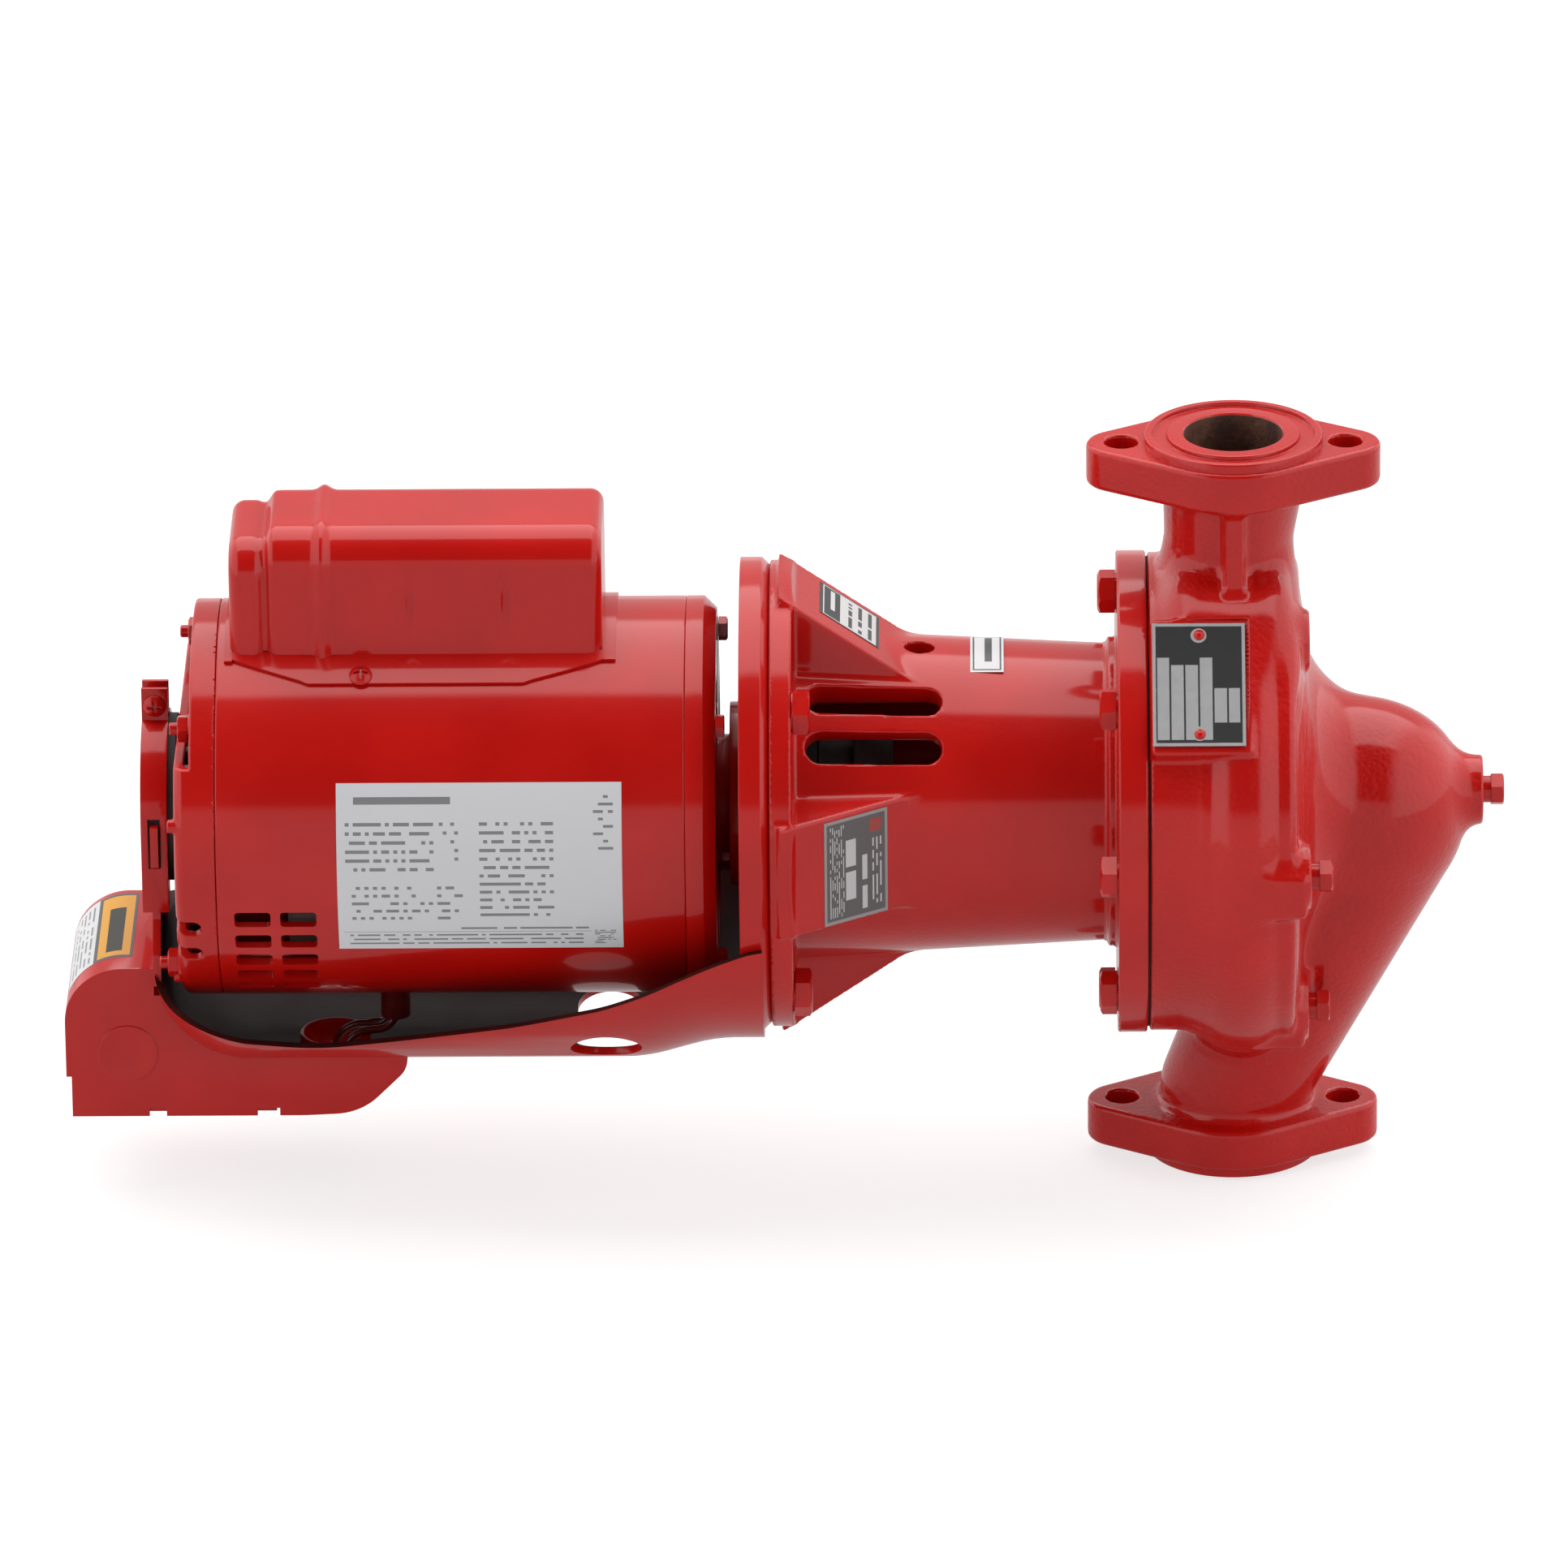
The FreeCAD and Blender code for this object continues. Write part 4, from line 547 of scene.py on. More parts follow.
def casingField(x, y, z):
    v = volute
    r = np.hypot(y, z)
    mean = v["mean"] - v["growth"] * z / np.maximum(r, 1)
    pipe = np.hypot(x, y)
    scroll = np.hypot(x - v["scrollAt"], r - mean) - v["tube"]
    body = melt(rod(x, r, -32, -12, v["rim"], 1.0), rod(x, r, -30, 6, 86.0, 2), 4)
    body = melt(body, scroll, 6)
    body = melt(body, rod(x, r, -10, 24.7, 70, 4), 6)
    body = melt(body, np.hypot(x - 19.5, r - mean - 14.5) - 3.0, 4)
    throat = taper(0 * x, y, z, (0, -14, 56), (0, 0, 75), 43, 28)
    body = melt(body, keep(throat, np.abs(x + 2) - 25, 14), 8)
    across, along = outwards(y, z, v["plateAngle"])
    pad = slab(x, across, along, (-31.6, 55, -28), (6.5, v["plateFlat"], 28), 2.0)
    body = melt(body, pad, 1.6)
    over = slab(x, across, along, (-40, v["plateFlat"], -27), (4.6, 120, 27), 0.5)
    body = carve(body, over, 1.0)
    neck = taper(x, y, z, (0, 0, 128), (-3.5, 0, 84), 26.5, 22.0)
    body = melt(body, neck, 6)
    body = melt(body, slab(x, y, z, (-3.5, -33.5, 84), (3.5, -15, 129), 1.2), 4)
    shoulder = taper(x, y, z, (4, 0, 0), (40, 0, -1), 50, 36)
    body = melt(body, melt(shoulder, ball(x, y, z, (53.5, 0, -1), 34.8), 8), 22)
    elbow = taper(x, y, z, (0, 0, -122), (50.5, 0, -12), 27.4, 36.2)
    body = melt(body, elbow, 7)
    plan = flangePlan(x, y)
    bottom = v["face"] - v["faceRaise"]
    for side in (1, -1):
        plate = rod(z * side, plan, bottom - v["flangeThick"], bottom, 0, 1.8)
        body = melt(body, plate, 5)
    boss = rod(x, r, 40, 94.5, 13.1, 1.2)
    body = melt(body, boss, 7)
    for degrees in (0, -60):
        by, bz = pointAt(degrees, 82)
        knob = rod(x, np.hypot(y - by, z - bz), -2, 27.8, 12.2, 0.8)
        knob = melt(knob, slab(x, y - by, z - bz, (6, -13.5, -12.5), (26.5, 9, 5), 2.5), 3)
        body = melt(body, knob, 4)
    by, bz = pointAt(69, 79)
    body = melt(body, rod(x, np.hypot(y - by, z - bz), 10, 28.0, 10.5, 1.0), 5)
    body = carve(body, rod(np.abs(z), np.hypot(np.abs(x) - v["boltReach"], y), 118, 160, v["boltHole"]), 1.0)
    body = carve(body, rod(np.abs(z), pipe, 121, 160, 23), 0.6)
    return carve(body, chamber(x, y, z), 1.0)


def portRing(name, side):  # machined gasket boss with its groove and bore
    face = volute["face"]
    outline = roundCorners([
        (18.5, face - 26, 0), (18.5, face - 0.6, 0.5), (19.2, face, 0), (24.8, face, 0.5),
        (25.1, face - 1.7, 0.4), (30.3, face - 1.7, 0.4), (30.6, face, 0.5), (33.3, face, 0.8),
        (33.9, face - 6, 0), (23.4, face - 6, 0), (23.4, face - 26, 0),
    ], 3)
    steps, count = 96, len(outline)
    last = count * (steps - 1)
    vertices = [(r * a, r * b, z * side) for a, b in circleAt(1, steps) for r, z in outline]
    faces = ringFaces(steps, count)
    faces += [(last + k, last + (k + 1) % count, (k + 1) % count, k) for k in range(count)]
    piece = newPiece(name, vertices, faces, "castEnamel", 0)
    piece.data.materials.append(finishes["bareRustyIron"])
    for polygon in piece.data.polygons:
        polygon.material_index = int(math.hypot(polygon.center.x, polygon.center.y) < 0.0189)
    return tidy(piece)


casingLow, casingHigh = (-58.5, -108, -144.5), (97, 108, 144.5)
casing = castPiece("voluteCasing", casingField, casingLow, casingHigh, volute["cell"], "castEnamel")
casing.data.materials.append(finishes["bareRustyIron"])
middles = np.empty(len(casing.data.polygons) * 3)
casing.data.polygons.foreach_get("center", middles)
cx, cy, cz = middles.reshape(-1, 3).T / mm
cz = cz - shaftHeight / mm
bare = (np.hypot(cx, cy) < 20) & (np.abs(cz) > 60) | (chamber(cx, cy, cz) < 0.8)
casing.data.polygons.foreach_set("material_index", bare.astype(np.int32))
for side, name in ((1, "dischargeGasketBoss"), (-1, "suctionGasketBoss")):
    settle(portRing(name, side), "cast_red", "housing")
settle(casing, "cast_red", "housing", "casing")
print("casing made")


# tools for sheet metal, turned copies and labels

def softened(node, name, width, material, slot, body, angle=35, segments=2):  # a CAD solid with its edges eased
    source = frame["nodes"][node]
    mesh = source.data.copy()
    mesh.materials.clear()
    mesh.materials.append(finishes[material])
    piece = bpy.data.objects.new(name, mesh)
    bpy.context.scene.collection.objects.link(piece)
    work = bmesh.new()
    work.from_mesh(mesh)
    bmesh.ops.remove_doubles(work, verts=work.verts, dist=0.000002)
    flat = math.radians(0.4)
    bmesh.ops.dissolve_limit(work, angle_limit=flat, verts=work.verts, edges=work.edges, delimit=set())
    work.to_mesh(mesh)
    work.free()
    mesh.polygons.foreach_set("material_index", [0] * len(mesh.polygons))
    ease = piece.modifiers.new("ease", "BEVEL")
    ease.width = width * mm
    ease.segments = segments
    ease.limit_method = "ANGLE"
    ease.angle_limit = math.radians(angle)
    ease.use_clamp_overlap = True
    return settle(smoothed(bake(piece), 32), slot, body, node)


def turnedCopiesTree():  # copies of one unit, turned about the shaft by equal steps
    tree = bpy.data.node_groups.new("turnedCopies", "GeometryNodeTree")
    tree.is_modifier = True
    tree.interface.new_socket("Geometry", in_out="INPUT", socket_type="NodeSocketGeometry")
    for label, kind in (("Unit", "Object"), ("Count", "Int"), ("First Angle", "Float"), ("Step Angle", "Float"),
                        ("Shaft Height", "Float"), ("Finish", "Material")):
        tree.interface.new_socket(label, in_out="INPUT", socket_type="NodeSocket" + kind)
    tree.interface.new_socket("Geometry", in_out="OUTPUT", socket_type="NodeSocketGeometry")
    net = Net(tree)
    given = net.add("NodeGroupInput")
    line = net.add("GeometryNodeMeshLine", {}, {"Count": given.out("Count"), "Offset": (0, 0, 0)}).out(0)
    turn = given.out("First Angle") + given.out("Step Angle") * net.add("GeometryNodeInputIndex").out(0)
    turned = net.add("ShaderNodeCombineXYZ", {}, {"X": turn * -1.0})
    unit = net.add("GeometryNodeObjectInfo", {"transform_space": "ORIGINAL"}, {"Object": given.out("Unit")})
    copies = net.add("GeometryNodeInstanceOnPoints", {}, {
        "Points": line, "Instance": unit.out("Geometry"), "Rotation": turned.out(0)}).out(0)
    solid = net.add("GeometryNodeRealizeInstances", {}, {0: copies}).out(0)
    lift = net.add("ShaderNodeCombineXYZ", {}, {"Z": given.out("Shaft Height")})
    raised = net.add("GeometryNodeTransform", {}, {"Geometry": solid, "Translation": lift.out(0)}).out(0)
    coated = net.add("GeometryNodeSetMaterial", {}, {"Geometry": raised, "Material": given.out("Finish")})
    net.add("NodeGroupOutput", {}, {0: coated.out(0)})
    return tree


turnedCopies = turnedCopiesTree()


def setInputs(modifier, values):
    for item in modifier.node_group.interface.items_tree:
        if item.item_type == "SOCKET" and item.in_out == "INPUT" and item.name in values:
            modifier[item.identifier] = values[item.name]


def turnedSet(name, vertices, faces, material, count, first, step, smooth=30):  # unit is drawn at the front
    unit = newPiece(name + "Unit", vertices, faces, None, 0)
    unit.data.transform(Matrix.Translation((0, 0, -shaftHeight)))
    tidy(unit, smooth)
    piece = newPiece(name, [(0, 0, 0)], [], material, 0)
    copies = piece.modifiers.new("copies", "NODES")
    copies.node_group = turnedCopies
    setInputs(copies, {
        "Unit": unit, "Count": count, "First Angle": math.radians(first), "Step Angle": math.radians(step),
        "Shaft Height": shaftHeight, "Finish": finishes[material],
    })
    bake(piece)
    bpy.data.objects.remove(unit)
    return piece


def hexHead(start, out, acrossFlats, height, reach=0.0, shank=0.0, washer=0.0):  # head along X, at a radius
    vertices, rings = [], []
    sides = 48
    rim = acrossFlats / 2
    if shank:
        rings += [(-shank[0], lambda a, h: (shank[1], 0)), (0.0, lambda a, h: (shank[1], 0))]
    if washer:
        rings += [(0.0, lambda a, h: (rim * 0.98, 0)), (washer, lambda a, h: (rim * 0.98, 0))]
    rings += [
        (washer, lambda a, h: (h - 0.15, 0)), (washer + 0.15, lambda a, h: (h, 0)),
        (height, lambda a, h: (h, -(h - rim * 0.95) * 0.55 - 0.1)), (height, lambda a, h: (rim * 0.93, 0)),
        (height - 0.25, lambda a, h: (rim * 0.80, 0)),
    ]
    for level, radius in rings:
        for i in range(sides):
            a = 2 * math.pi * i / sides
            flat = (a + math.pi / 6) % (math.pi / 3) - math.pi / 6
            r, dip = radius(a, rim / math.cos(flat))
            vertices.append((start + out * (level + dip), -reach + r * math.cos(a), r * math.sin(a)))
    return vertices, ringFaces(len(rings), sides) + endFaces(len(rings), sides)


def skin(name, point, across, along, material, thick=0.12, centre=None):  # thin sheet with flat coordinates
    vertices, faces, flat = [], [], []
    for i in range(across + 1):
        for j in range(along + 1):
            u, v = i / across, j / along
            vertices.append(point(u, v))
            flat.append((u, v))
    for i in range(across):
        for j in range(along):
            a = i * (along + 1) + j
            faces.append((a, a + along + 1, a + along + 2, a + 1))
    outward = 0.0
    for face in faces[::7]:
        a, b, c = (Vector(vertices[i]) for i in face[:3])
        away = a - centre if centre else Vector((0, a.y, a.z))
        outward += (b - a).cross(c - a).dot(away)
    if outward < 0:
        faces = [face[::-1] for face in faces]
    piece = newPiece(name, vertices, faces, material, 0)
    layer = piece.data.uv_layers.new(name="flat")
    for loop in piece.data.loops:
        layer.data[loop.index].uv = flat[loop.vertex_index]
    wall = piece.modifiers.new("wall", "SOLIDIFY")
    wall.thickness = thick * mm
    wall.offset = 1.0
    return smoothed(bake(piece), 40)


def onCylinder(radius, x0, x1, low, high):  # sheet point on a cylinder about the shaft, u along X and v up
    def point(u, v):
        y, z = pointAt(low + (high - low) * v, radius)
        return x0 + (x1 - x0) * u, y, z
    return point


def flatInputs(name):
    material, net, place = newMaterial(name)
    uv = net.add("ShaderNodeUVMap", {"uv_map": "flat"}).out(0)
    parts = net.add("ShaderNodeSeparateXYZ", {}, {0: uv})
    return material, net, place, parts.out(0), parts.out(1)


def patch(u, v, u0, u1, v0, v1):  # 1 inside a rectangle of the sheet
    return (u > u0) * (u < u1) * (v > v0) * (v < v1)


def dashes(net, u, v, columns, rows, box, fill, seed):  # rows of short bars in place of small print
    u0, u1, v0, v1 = box
    x = (u - u0) * (columns / (u1 - u0))
    y = (v - v0) * (rows / (v1 - v0))
    cell = net.add("ShaderNodeCombineXYZ", {}, {0: x.join("FLOOR", x), 1: y.join("FLOOR", y), 2: seed})
    chance = net.add("ShaderNodeTexWhiteNoise", {"noise_dimensions": "3D"}, {"Vector": cell.out(0)}).out(0)
    inRow = (y.join("FRACT", y) > 0.36) * (y.join("FRACT", y) < 0.74)
    return patch(u, v, *box) * inRow * (chance < fill)


def printed(net, place, base, marks, rough=0.35):  # sheet colour with marks laid over it in turn
    colour = base
    for mask, tint in marks:
        colour = blendColour(net, mask, colour, tint)
    finishMaterial(net, {
        "Base Color": colour, "Roughness": noise(net, place, 90, 3) * 0.1 + (rough - 0.05),
        "Normal": bump(net, noise(net, place, 300, 2), 0.00002, 0.6),
    })


def addLabelFinishes():
    ink, soft = (0.05, 0.05, 0.055, 1), (0.22, 0.22, 0.23, 1)
    material, net, place, u, v = flatInputs("dataLabel")
    marks = [(patch(u, v, 0.06, 0.40, 0.885, 0.925), soft)]
    for i, (box, columns, rows, fill) in enumerate((
            ((0.03, 0.34, 0.50, 0.80), 22, 6, 0.62), ((0.36, 0.44, 0.56, 0.80), 6, 5, 0.3),
            ((0.50, 0.76, 0.22, 0.80), 18, 12, 0.62), ((0.05, 0.44, 0.20, 0.44), 26, 5, 0.42),
            ((0.90, 0.97, 0.62, 0.94), 4, 8, 0.5), ((0.42, 0.88, 0.135, 0.17), 40, 1, 0.85),
            ((0.04, 0.86, 0.025, 0.12), 62, 3, 0.8))):
        marks.append((dashes(net, u, v, columns, rows, box, fill, i + 1.0), soft))
    marks.append((dashes(net, u, v, 8, 8, (0.90, 0.975, 0.03, 0.14), 0.55, 9.0), ink))
    marks.append((patch(u, v, 0.02, 0.89, 0.128, 0.131), soft))
    printed(net, place, (0.66, 0.66, 0.68, 1), marks)
    finishes["dataLabel"] = material

    material, net, place, u, v = flatInputs("greyLabel")
    pale = (0.55, 0.55, 0.56, 1)
    marks = [(patch(u, v, 0.04, 0.96, 0.03, 0.97), (0.11, 0.10, 0.10, 1)),
             (patch(u, v, 0.72, 0.90, 0.80, 0.93), (0.35, 0.05, 0.04, 1)),
             (patch(u, v, 0.34, 0.50, 0.52, 0.78), pale), (patch(u, v, 0.34, 0.50, 0.20, 0.47), pale),
             (patch(u, v, 0.60, 0.68, 0.36, 0.60), pale), (patch(u, v, 0.60, 0.68, 0.08, 0.30), pale),
             (dashes(net, v, u, 26, 7, (0.06, 0.94, 0.08, 0.32), 0.6, 3.0), pale),
             (dashes(net, v, u, 16, 3, (0.10, 0.74, 0.74, 0.92), 0.7, 5.0), pale)]
    printed(net, place, (0.30, 0.29, 0.29, 1), marks)
    finishes["greyLabel"] = material

    material, net, place, u, v = flatInputs("blackLabel")
    white = (0.62, 0.62, 0.62, 1)
    marks = [(patch(u, v, 0.05, 0.95, 0.03, 0.97), white),
             (patch(u, v, 0.07, 0.34, 0.05, 0.95), (0.03, 0.03, 0.03, 1)),
             (dashes(net, v, u, 12, 1, (0.10, 0.90, 0.11, 0.30), 0.8, 2.0), white),
             (dashes(net, v, u, 15, 3, (0.08, 0.92, 0.42, 0.92), 0.78, 4.0), ink)]
    printed(net, place, (0.04, 0.04, 0.04, 1), marks)
    finishes["blackLabel"] = material

    material, net, place, u, v = flatInputs("bandLabel")
    marks = [(patch(u, v, 0.07, 0.93, 0.03, 0.97), ink),
             (patch(u, v, 0.12, 0.88, 0.05, 0.95), (0.66, 0.66, 0.67, 1)),
             (dashes(net, v, u, 9, 1, (0.10, 0.90, 0.22, 0.80), 0.85, 6.0), ink)]
    printed(net, place, (0.66, 0.66, 0.67, 1), marks)
    finishes["bandLabel"] = material

    material, net, place, u, v = flatInputs("yellowLabel")
    marks = [(patch(u, v, 0.48, 1.0, 0.0, 1.0), (0.10, 0.10, 0.10, 1)),
             (patch(u, v, 0.53, 0.96, 0.03, 0.97), (0.72, 0.36, 0.035, 1)),
             (patch(u, v, 0.64, 0.84, 0.10, 0.78), (0.03, 0.028, 0.02, 1)),
             (dashes(net, v, u, 20, 5, (0.06, 0.94, 0.06, 0.44), 0.7, 8.0), soft)]
    printed(net, place, (0.66, 0.66, 0.67, 1), marks)
    finishes["yellowLabel"] = material

    material, net, place, u, v = flatInputs("etchedPlate")
    metal = (0.52, 0.52, 0.53, 1)
    field = patch(u, v, 0.035, 0.965, 0.025, 0.975)
    silver = 1.0 - field
    for u0, u1, v0, v1 in ((0.05, 0.18, 0.05, 0.72), (0.20, 0.335, 0.05, 0.66), (0.355, 0.49, 0.05, 0.66),
                           (0.51, 0.645, 0.05, 0.72), (0.665, 0.80, 0.19, 0.47), (0.82, 0.94, 0.19, 0.47)):
        silver = silver.highest(patch(u, v, u0, u1, v0, v1))
    for place0 in (0.10, 0.90):
        across, up = (u - 0.5) * 35.0, (v - place0) * 51.0
        silver = silver.highest((across * across + up * up) < 9.0)
    grain = noise(net, place, 500, 3)
    colour = blendColour(net, silver, (0.018, 0.017, 0.017, 1), metal)
    finishMaterial(net, {
        "Base Color": colour, "Metallic": silver * 0.85, "Roughness": grain * 0.12 + 0.30,
        "Normal": bump(net, silver + grain * 0.1, 0.00006, 0.7),
    })
    finishes["etchedPlate"] = material


addLabelFinishes()
print("tools and labels ready")


# bearing bracket

bracket = {
    "back": -174.6, "front": -166.0, "flange": 88.3, "cover": 91.2, "coverBack": -44.0, "coverFace": -32.8,
    "tip": -126.0, "barrelRear": 60.2, "barrelFront": 56.0, "gussetHalf": 22.5, "gussetTop": 86.2, "cell": 1.3,
}


def bracketField(x, y, z):
    b = bracket
    r = np.hypot(y, z)
    slope = (b["barrelRear"] - b["barrelFront"]) / (b["coverBack"] - b["tip"])
    skin = r - (b["barrelRear"] - slope * (x - b["tip"]))
    barrel = rod(x, skin, b["front"] - 2, b["coverBack"] + 2, 0)
    up = np.maximum(np.abs(y), np.abs(z))
    sideways = np.minimum(np.abs(y), np.abs(z))
    run, drop = b["tip"] - b["front"] - 0.5, b["gussetTop"] - 59.0
    length = math.hypot(run, drop)
    ramp = ((x - b["front"]) * drop + (up - b["gussetTop"]) * run) / length
    gusset = keep(keep(sideways - b["gussetHalf"], ramp, 1.6), np.maximum(-171 - x, x + 118), 1)
    body = melt(barrel, gusset, 2.5)
    body = melt(body, rod(x, r, b["back"], b["front"], b["flange"], 1.0), 2.5)
    body = melt(body, rod(x, r, b["coverBack"] - 3.5, b["coverBack"] + 3, 58.6, 1.0), 2)
    body = melt(body, rod(x, r, b["coverBack"], b["coverFace"], b["cover"], 1.0), 1.2)
    body = carve(body, rod(x, r, -190, -52, 50), 1.0)
    hub = rod(x, r, -107, -40, 30, 1)
    webs = slab(x, *outwards(y, z, 45), (-100, -53, -3), (-42, 53, 3), 0.5)
    webs = np.minimum(webs, slab(x, *outwards(y, z, 135), (-100, -53, -3), (-42, 53, 3), 0.5))
    inner = melt(hub, webs, 3)
    body = melt(body, inner, 3)
    body = carve(body, rod(x, r, -110, -64, 20.1), 0.6)
    body = carve(body, rod(x, r, -66, -20, 15.9), 0.6)
    for degrees in (39, 58, 122, 141):
        out, along = outwards(y, z, degrees)
        slot = np.hypot(np.maximum(np.abs(x + 135.5) - 19.5, 0), along) - 6.1
        body = carve(body, np.maximum(slot, 34 - out), 1.0)
    body = carve(body, np.maximum(np.hypot(x + 118.2, y) - 5.7, 34 - z), 0.8)
    return body


def bracketPiece():
    low, high = (-176, -93, -93), (-31.5, 93, 93)
    piece = castPiece("bearingBracket", bracketField, low, high, bracket["cell"], "finerCastEnamel")
    return settle(piece, "cast_red", "housing", "bearing_bracket")


bracketPiece()
print("bracket made")


# motor shell with its louvred windows

motor = {
    "radius": 75.0, "wall": 3.0, "front": -206.0, "rear": -382.0,
    "rows": 5, "firstRow": -15.4, "rowStep": -8.48, "columns": (-368.7, -351.5),
    "windowLong": 13.6, "windowHigh": 6.9, "windowCorner": 1.5,
    "leadHole": (-318.0, -14.0, 5.4),
}


def windowBlock(x, long, high, corner):  # rounded window cutter at the front of the shaft
    outline = roundCorners([(x - long / 2, -high / 2, corner), (x + long / 2, -high / 2, corner),
                            (x + long / 2, high / 2, corner), (x - long / 2, high / 2, corner)], 4)
    vertices = [(a, -62, b) for a, b in outline] + [(a, -84, b) for a, b in outline]
    return vertices, ringFaces(2, len(outline)) + endFaces(2, len(outline))


def cutAway(piece, cutter):
    boolean = piece.modifiers.new("cut", "BOOLEAN")
    boolean.operation = "DIFFERENCE"
    boolean.solver = "EXACT"
    boolean.object = cutter
    bake(piece)
    bpy.data.objects.remove(cutter)
    return piece


def motorShell():
    m = motor
    outline = roundCorners([
        (m["rear"], m["radius"] - m["wall"], 0), (m["rear"], m["radius"], 0.8), (m["front"], m["radius"], 0.8),
        (m["front"], m["radius"] - m["wall"], 0)], 3)
    shell = lathe("motorShell", outline, "shellEnamel", 256)
    for x in m["columns"]:
        vertices, faces = windowBlock(x, m["windowLong"], m["windowHigh"], m["windowCorner"])
        for first, step in ((m["firstRow"], m["rowStep"]), (180 - m["firstRow"], -m["rowStep"])):
            cutter = turnedSet("cutter", vertices, faces, "shellEnamel", m["rows"], first, step)
            cutAway(shell, cutter)
    x, y, r = m["leadHole"]
    vertices = [(a, b, z) for z in (-60, -84) for a, b in circleAt(r, 32, x, y)]
    cutAway(shell, tidy(newPiece("cutter", vertices, ringFaces(2, 32) + endFaces(2, 32), "shellEnamel", 0)))
    shell.data.materials.clear()
    shell.data.materials.append(finishes["shellEnamel"])
    settle(smoothed(shell, 32), "enamel_red", "housing", "motor_shell")
    label = skin("motorDataLabel", onCylinder(75.02, -336.5, -229.7, -27, 26.5), 24, 48, "dataLabel")
    settle(label, "etched_plate", "housing")


motorShell()
softened("front_end_bell", "frontEndBell", 1.0, "finerCastEnamel", "cast_red", "housing", 40, 3)

rearBell = {
    "face": -397.6, "recess": -391.8, "rim": -382.0, "hub": -411.0, "ledge": 38.0, "wall": 3.2, "bore": 9.6,
    "notches": (-19.0, -29.5), "lugs": (14, 166, -48, -132), "cell": 1.0,
}
tieBolt = {
    "angles": (45, 135, 225, 315), "circle": 67.5, "radius": 2.4, "padHigh": 0.6,
    "front": -195.5, "headAt": -194.7,
}


def rearBellField(x, y, z):
    b = rearBell
    r = np.hypot(y, z)
    radius = motor["radius"] - 0.1
    dished = rod(x, r, b["face"], b["rim"], radius, 4.2)
    dished = np.maximum(np.minimum(dished, rod(x, r, b["face"] + 6, b["rim"], radius, 0.4)), x - b["rim"])
    upper = np.maximum(b["ledge"] - z, 33 - r)
    body = carve(dished, np.maximum(upper, x - b["recess"]), 1.2)
    body = melt(body, rod(x, r, b["face"] - 0.1, b["face"] + 8, 33.5, 0.8), 1.5)
    body = melt(body, rod(x, r, b["hub"], b["face"] + 8, 22.4, 0.6), 0.8)
    for degrees in tieBolt["angles"]:
        by, bz = pointAt(degrees, tieBolt["circle"])
        seat = b["recess"] if bz > 0 else b["face"]
        pad = rod(x, np.hypot(y - by, z - bz), seat - tieBolt["padHigh"], seat + 6, 6.0, 0.5)
        body = melt(body, pad, 1.0)
    for degrees in b["lugs"]:
        by, bz = pointAt(degrees, 71.5)
        body = melt(body, rod(x, np.hypot(y - by, z - bz), b["face"] - 2.4, b["face"] + 5, 2.6, 0.5), 0.8)
    for degrees in b["notches"]:
        for side in (degrees, 180 - degrees):
            out, along = outwards(y, z, side)
            slot = np.hypot(np.maximum(x - b["face"] - 6.5, 0), along) - 3.1
            body = carve(body, np.maximum(slot, 50 - out), 0.6)
    hollow = rod(x, r, b["face"] + 4, b["rim"] + 4, radius - b["wall"], 2)
    body = carve(body, hollow, 0.6)
    return carve(body, rod(x, r, b["hub"] - 5, b["rim"] + 5, b["bore"]), 0.4)


def rearBellPiece():
    low, high = (-412, -77, -77), (-380.5, 77, 77)
    bell = castPiece("rearEndBell", rearBellField, low, high, rearBell["cell"], "finerCastEnamel")
    settle(bell, "cast_red", "housing", "rear_end_bell")
    t = tieBolt
    nuts, bolts = [], []
    for i, degrees in enumerate(t["angles"]):
        seat = rearBell["recess" if degrees < 180 else "face"] - t["padHigh"]
        vertices, faces = hexHead(seat, -1, 9.5, 3.9, t["circle"])
        nuts.append(turnedSet("nut" + str(i), vertices, faces, "boltEnamel", 1, degrees, 0))
        ends = [(seat - 7.0, 0.8), (seat - 6.5, 1.0), (t["front"], 1.0)]
        vertices = [(x, a * s - t["circle"], b * s) for x, s in ends for a, b in circleAt(t["radius"], 20)]
        faces = ringFaces(3, 20) + endFaces(3, 20)
        bolts.append(turnedSet("rod" + str(i), vertices, faces, "boltEnamel", 1, degrees, 0))
    vertices, faces = hexHead(t["headAt"], 1, 8.0, 3.5, t["circle"])
    bolts.append(turnedSet("heads", vertices, faces, "boltEnamel", 4, 45, 90))
    settle(joinPieces("tieBoltNuts", nuts), "fastener_red", "housing", "tie_bolt_nuts")
    settle(joinPieces("tieBolts", bolts), "fastener_red", "housing", "tie_bolts")


rearBellPiece()
print("motor made")


# capacitor cover, pressed from thin sheet

cover = {
    "rear": -376.9, "front": -236.9, "top": 117.3, "half": 30.0, "corner": 14.0, "endCorner": 5.0, "cell": 0.9,
    "stepAt": -363.5, "stepDrop": 4.0, "beadAt": -342.0, "dimples": (-308.6, -272.7),
    "screwAt": -327.5, "screwAngle": 59.0,
}


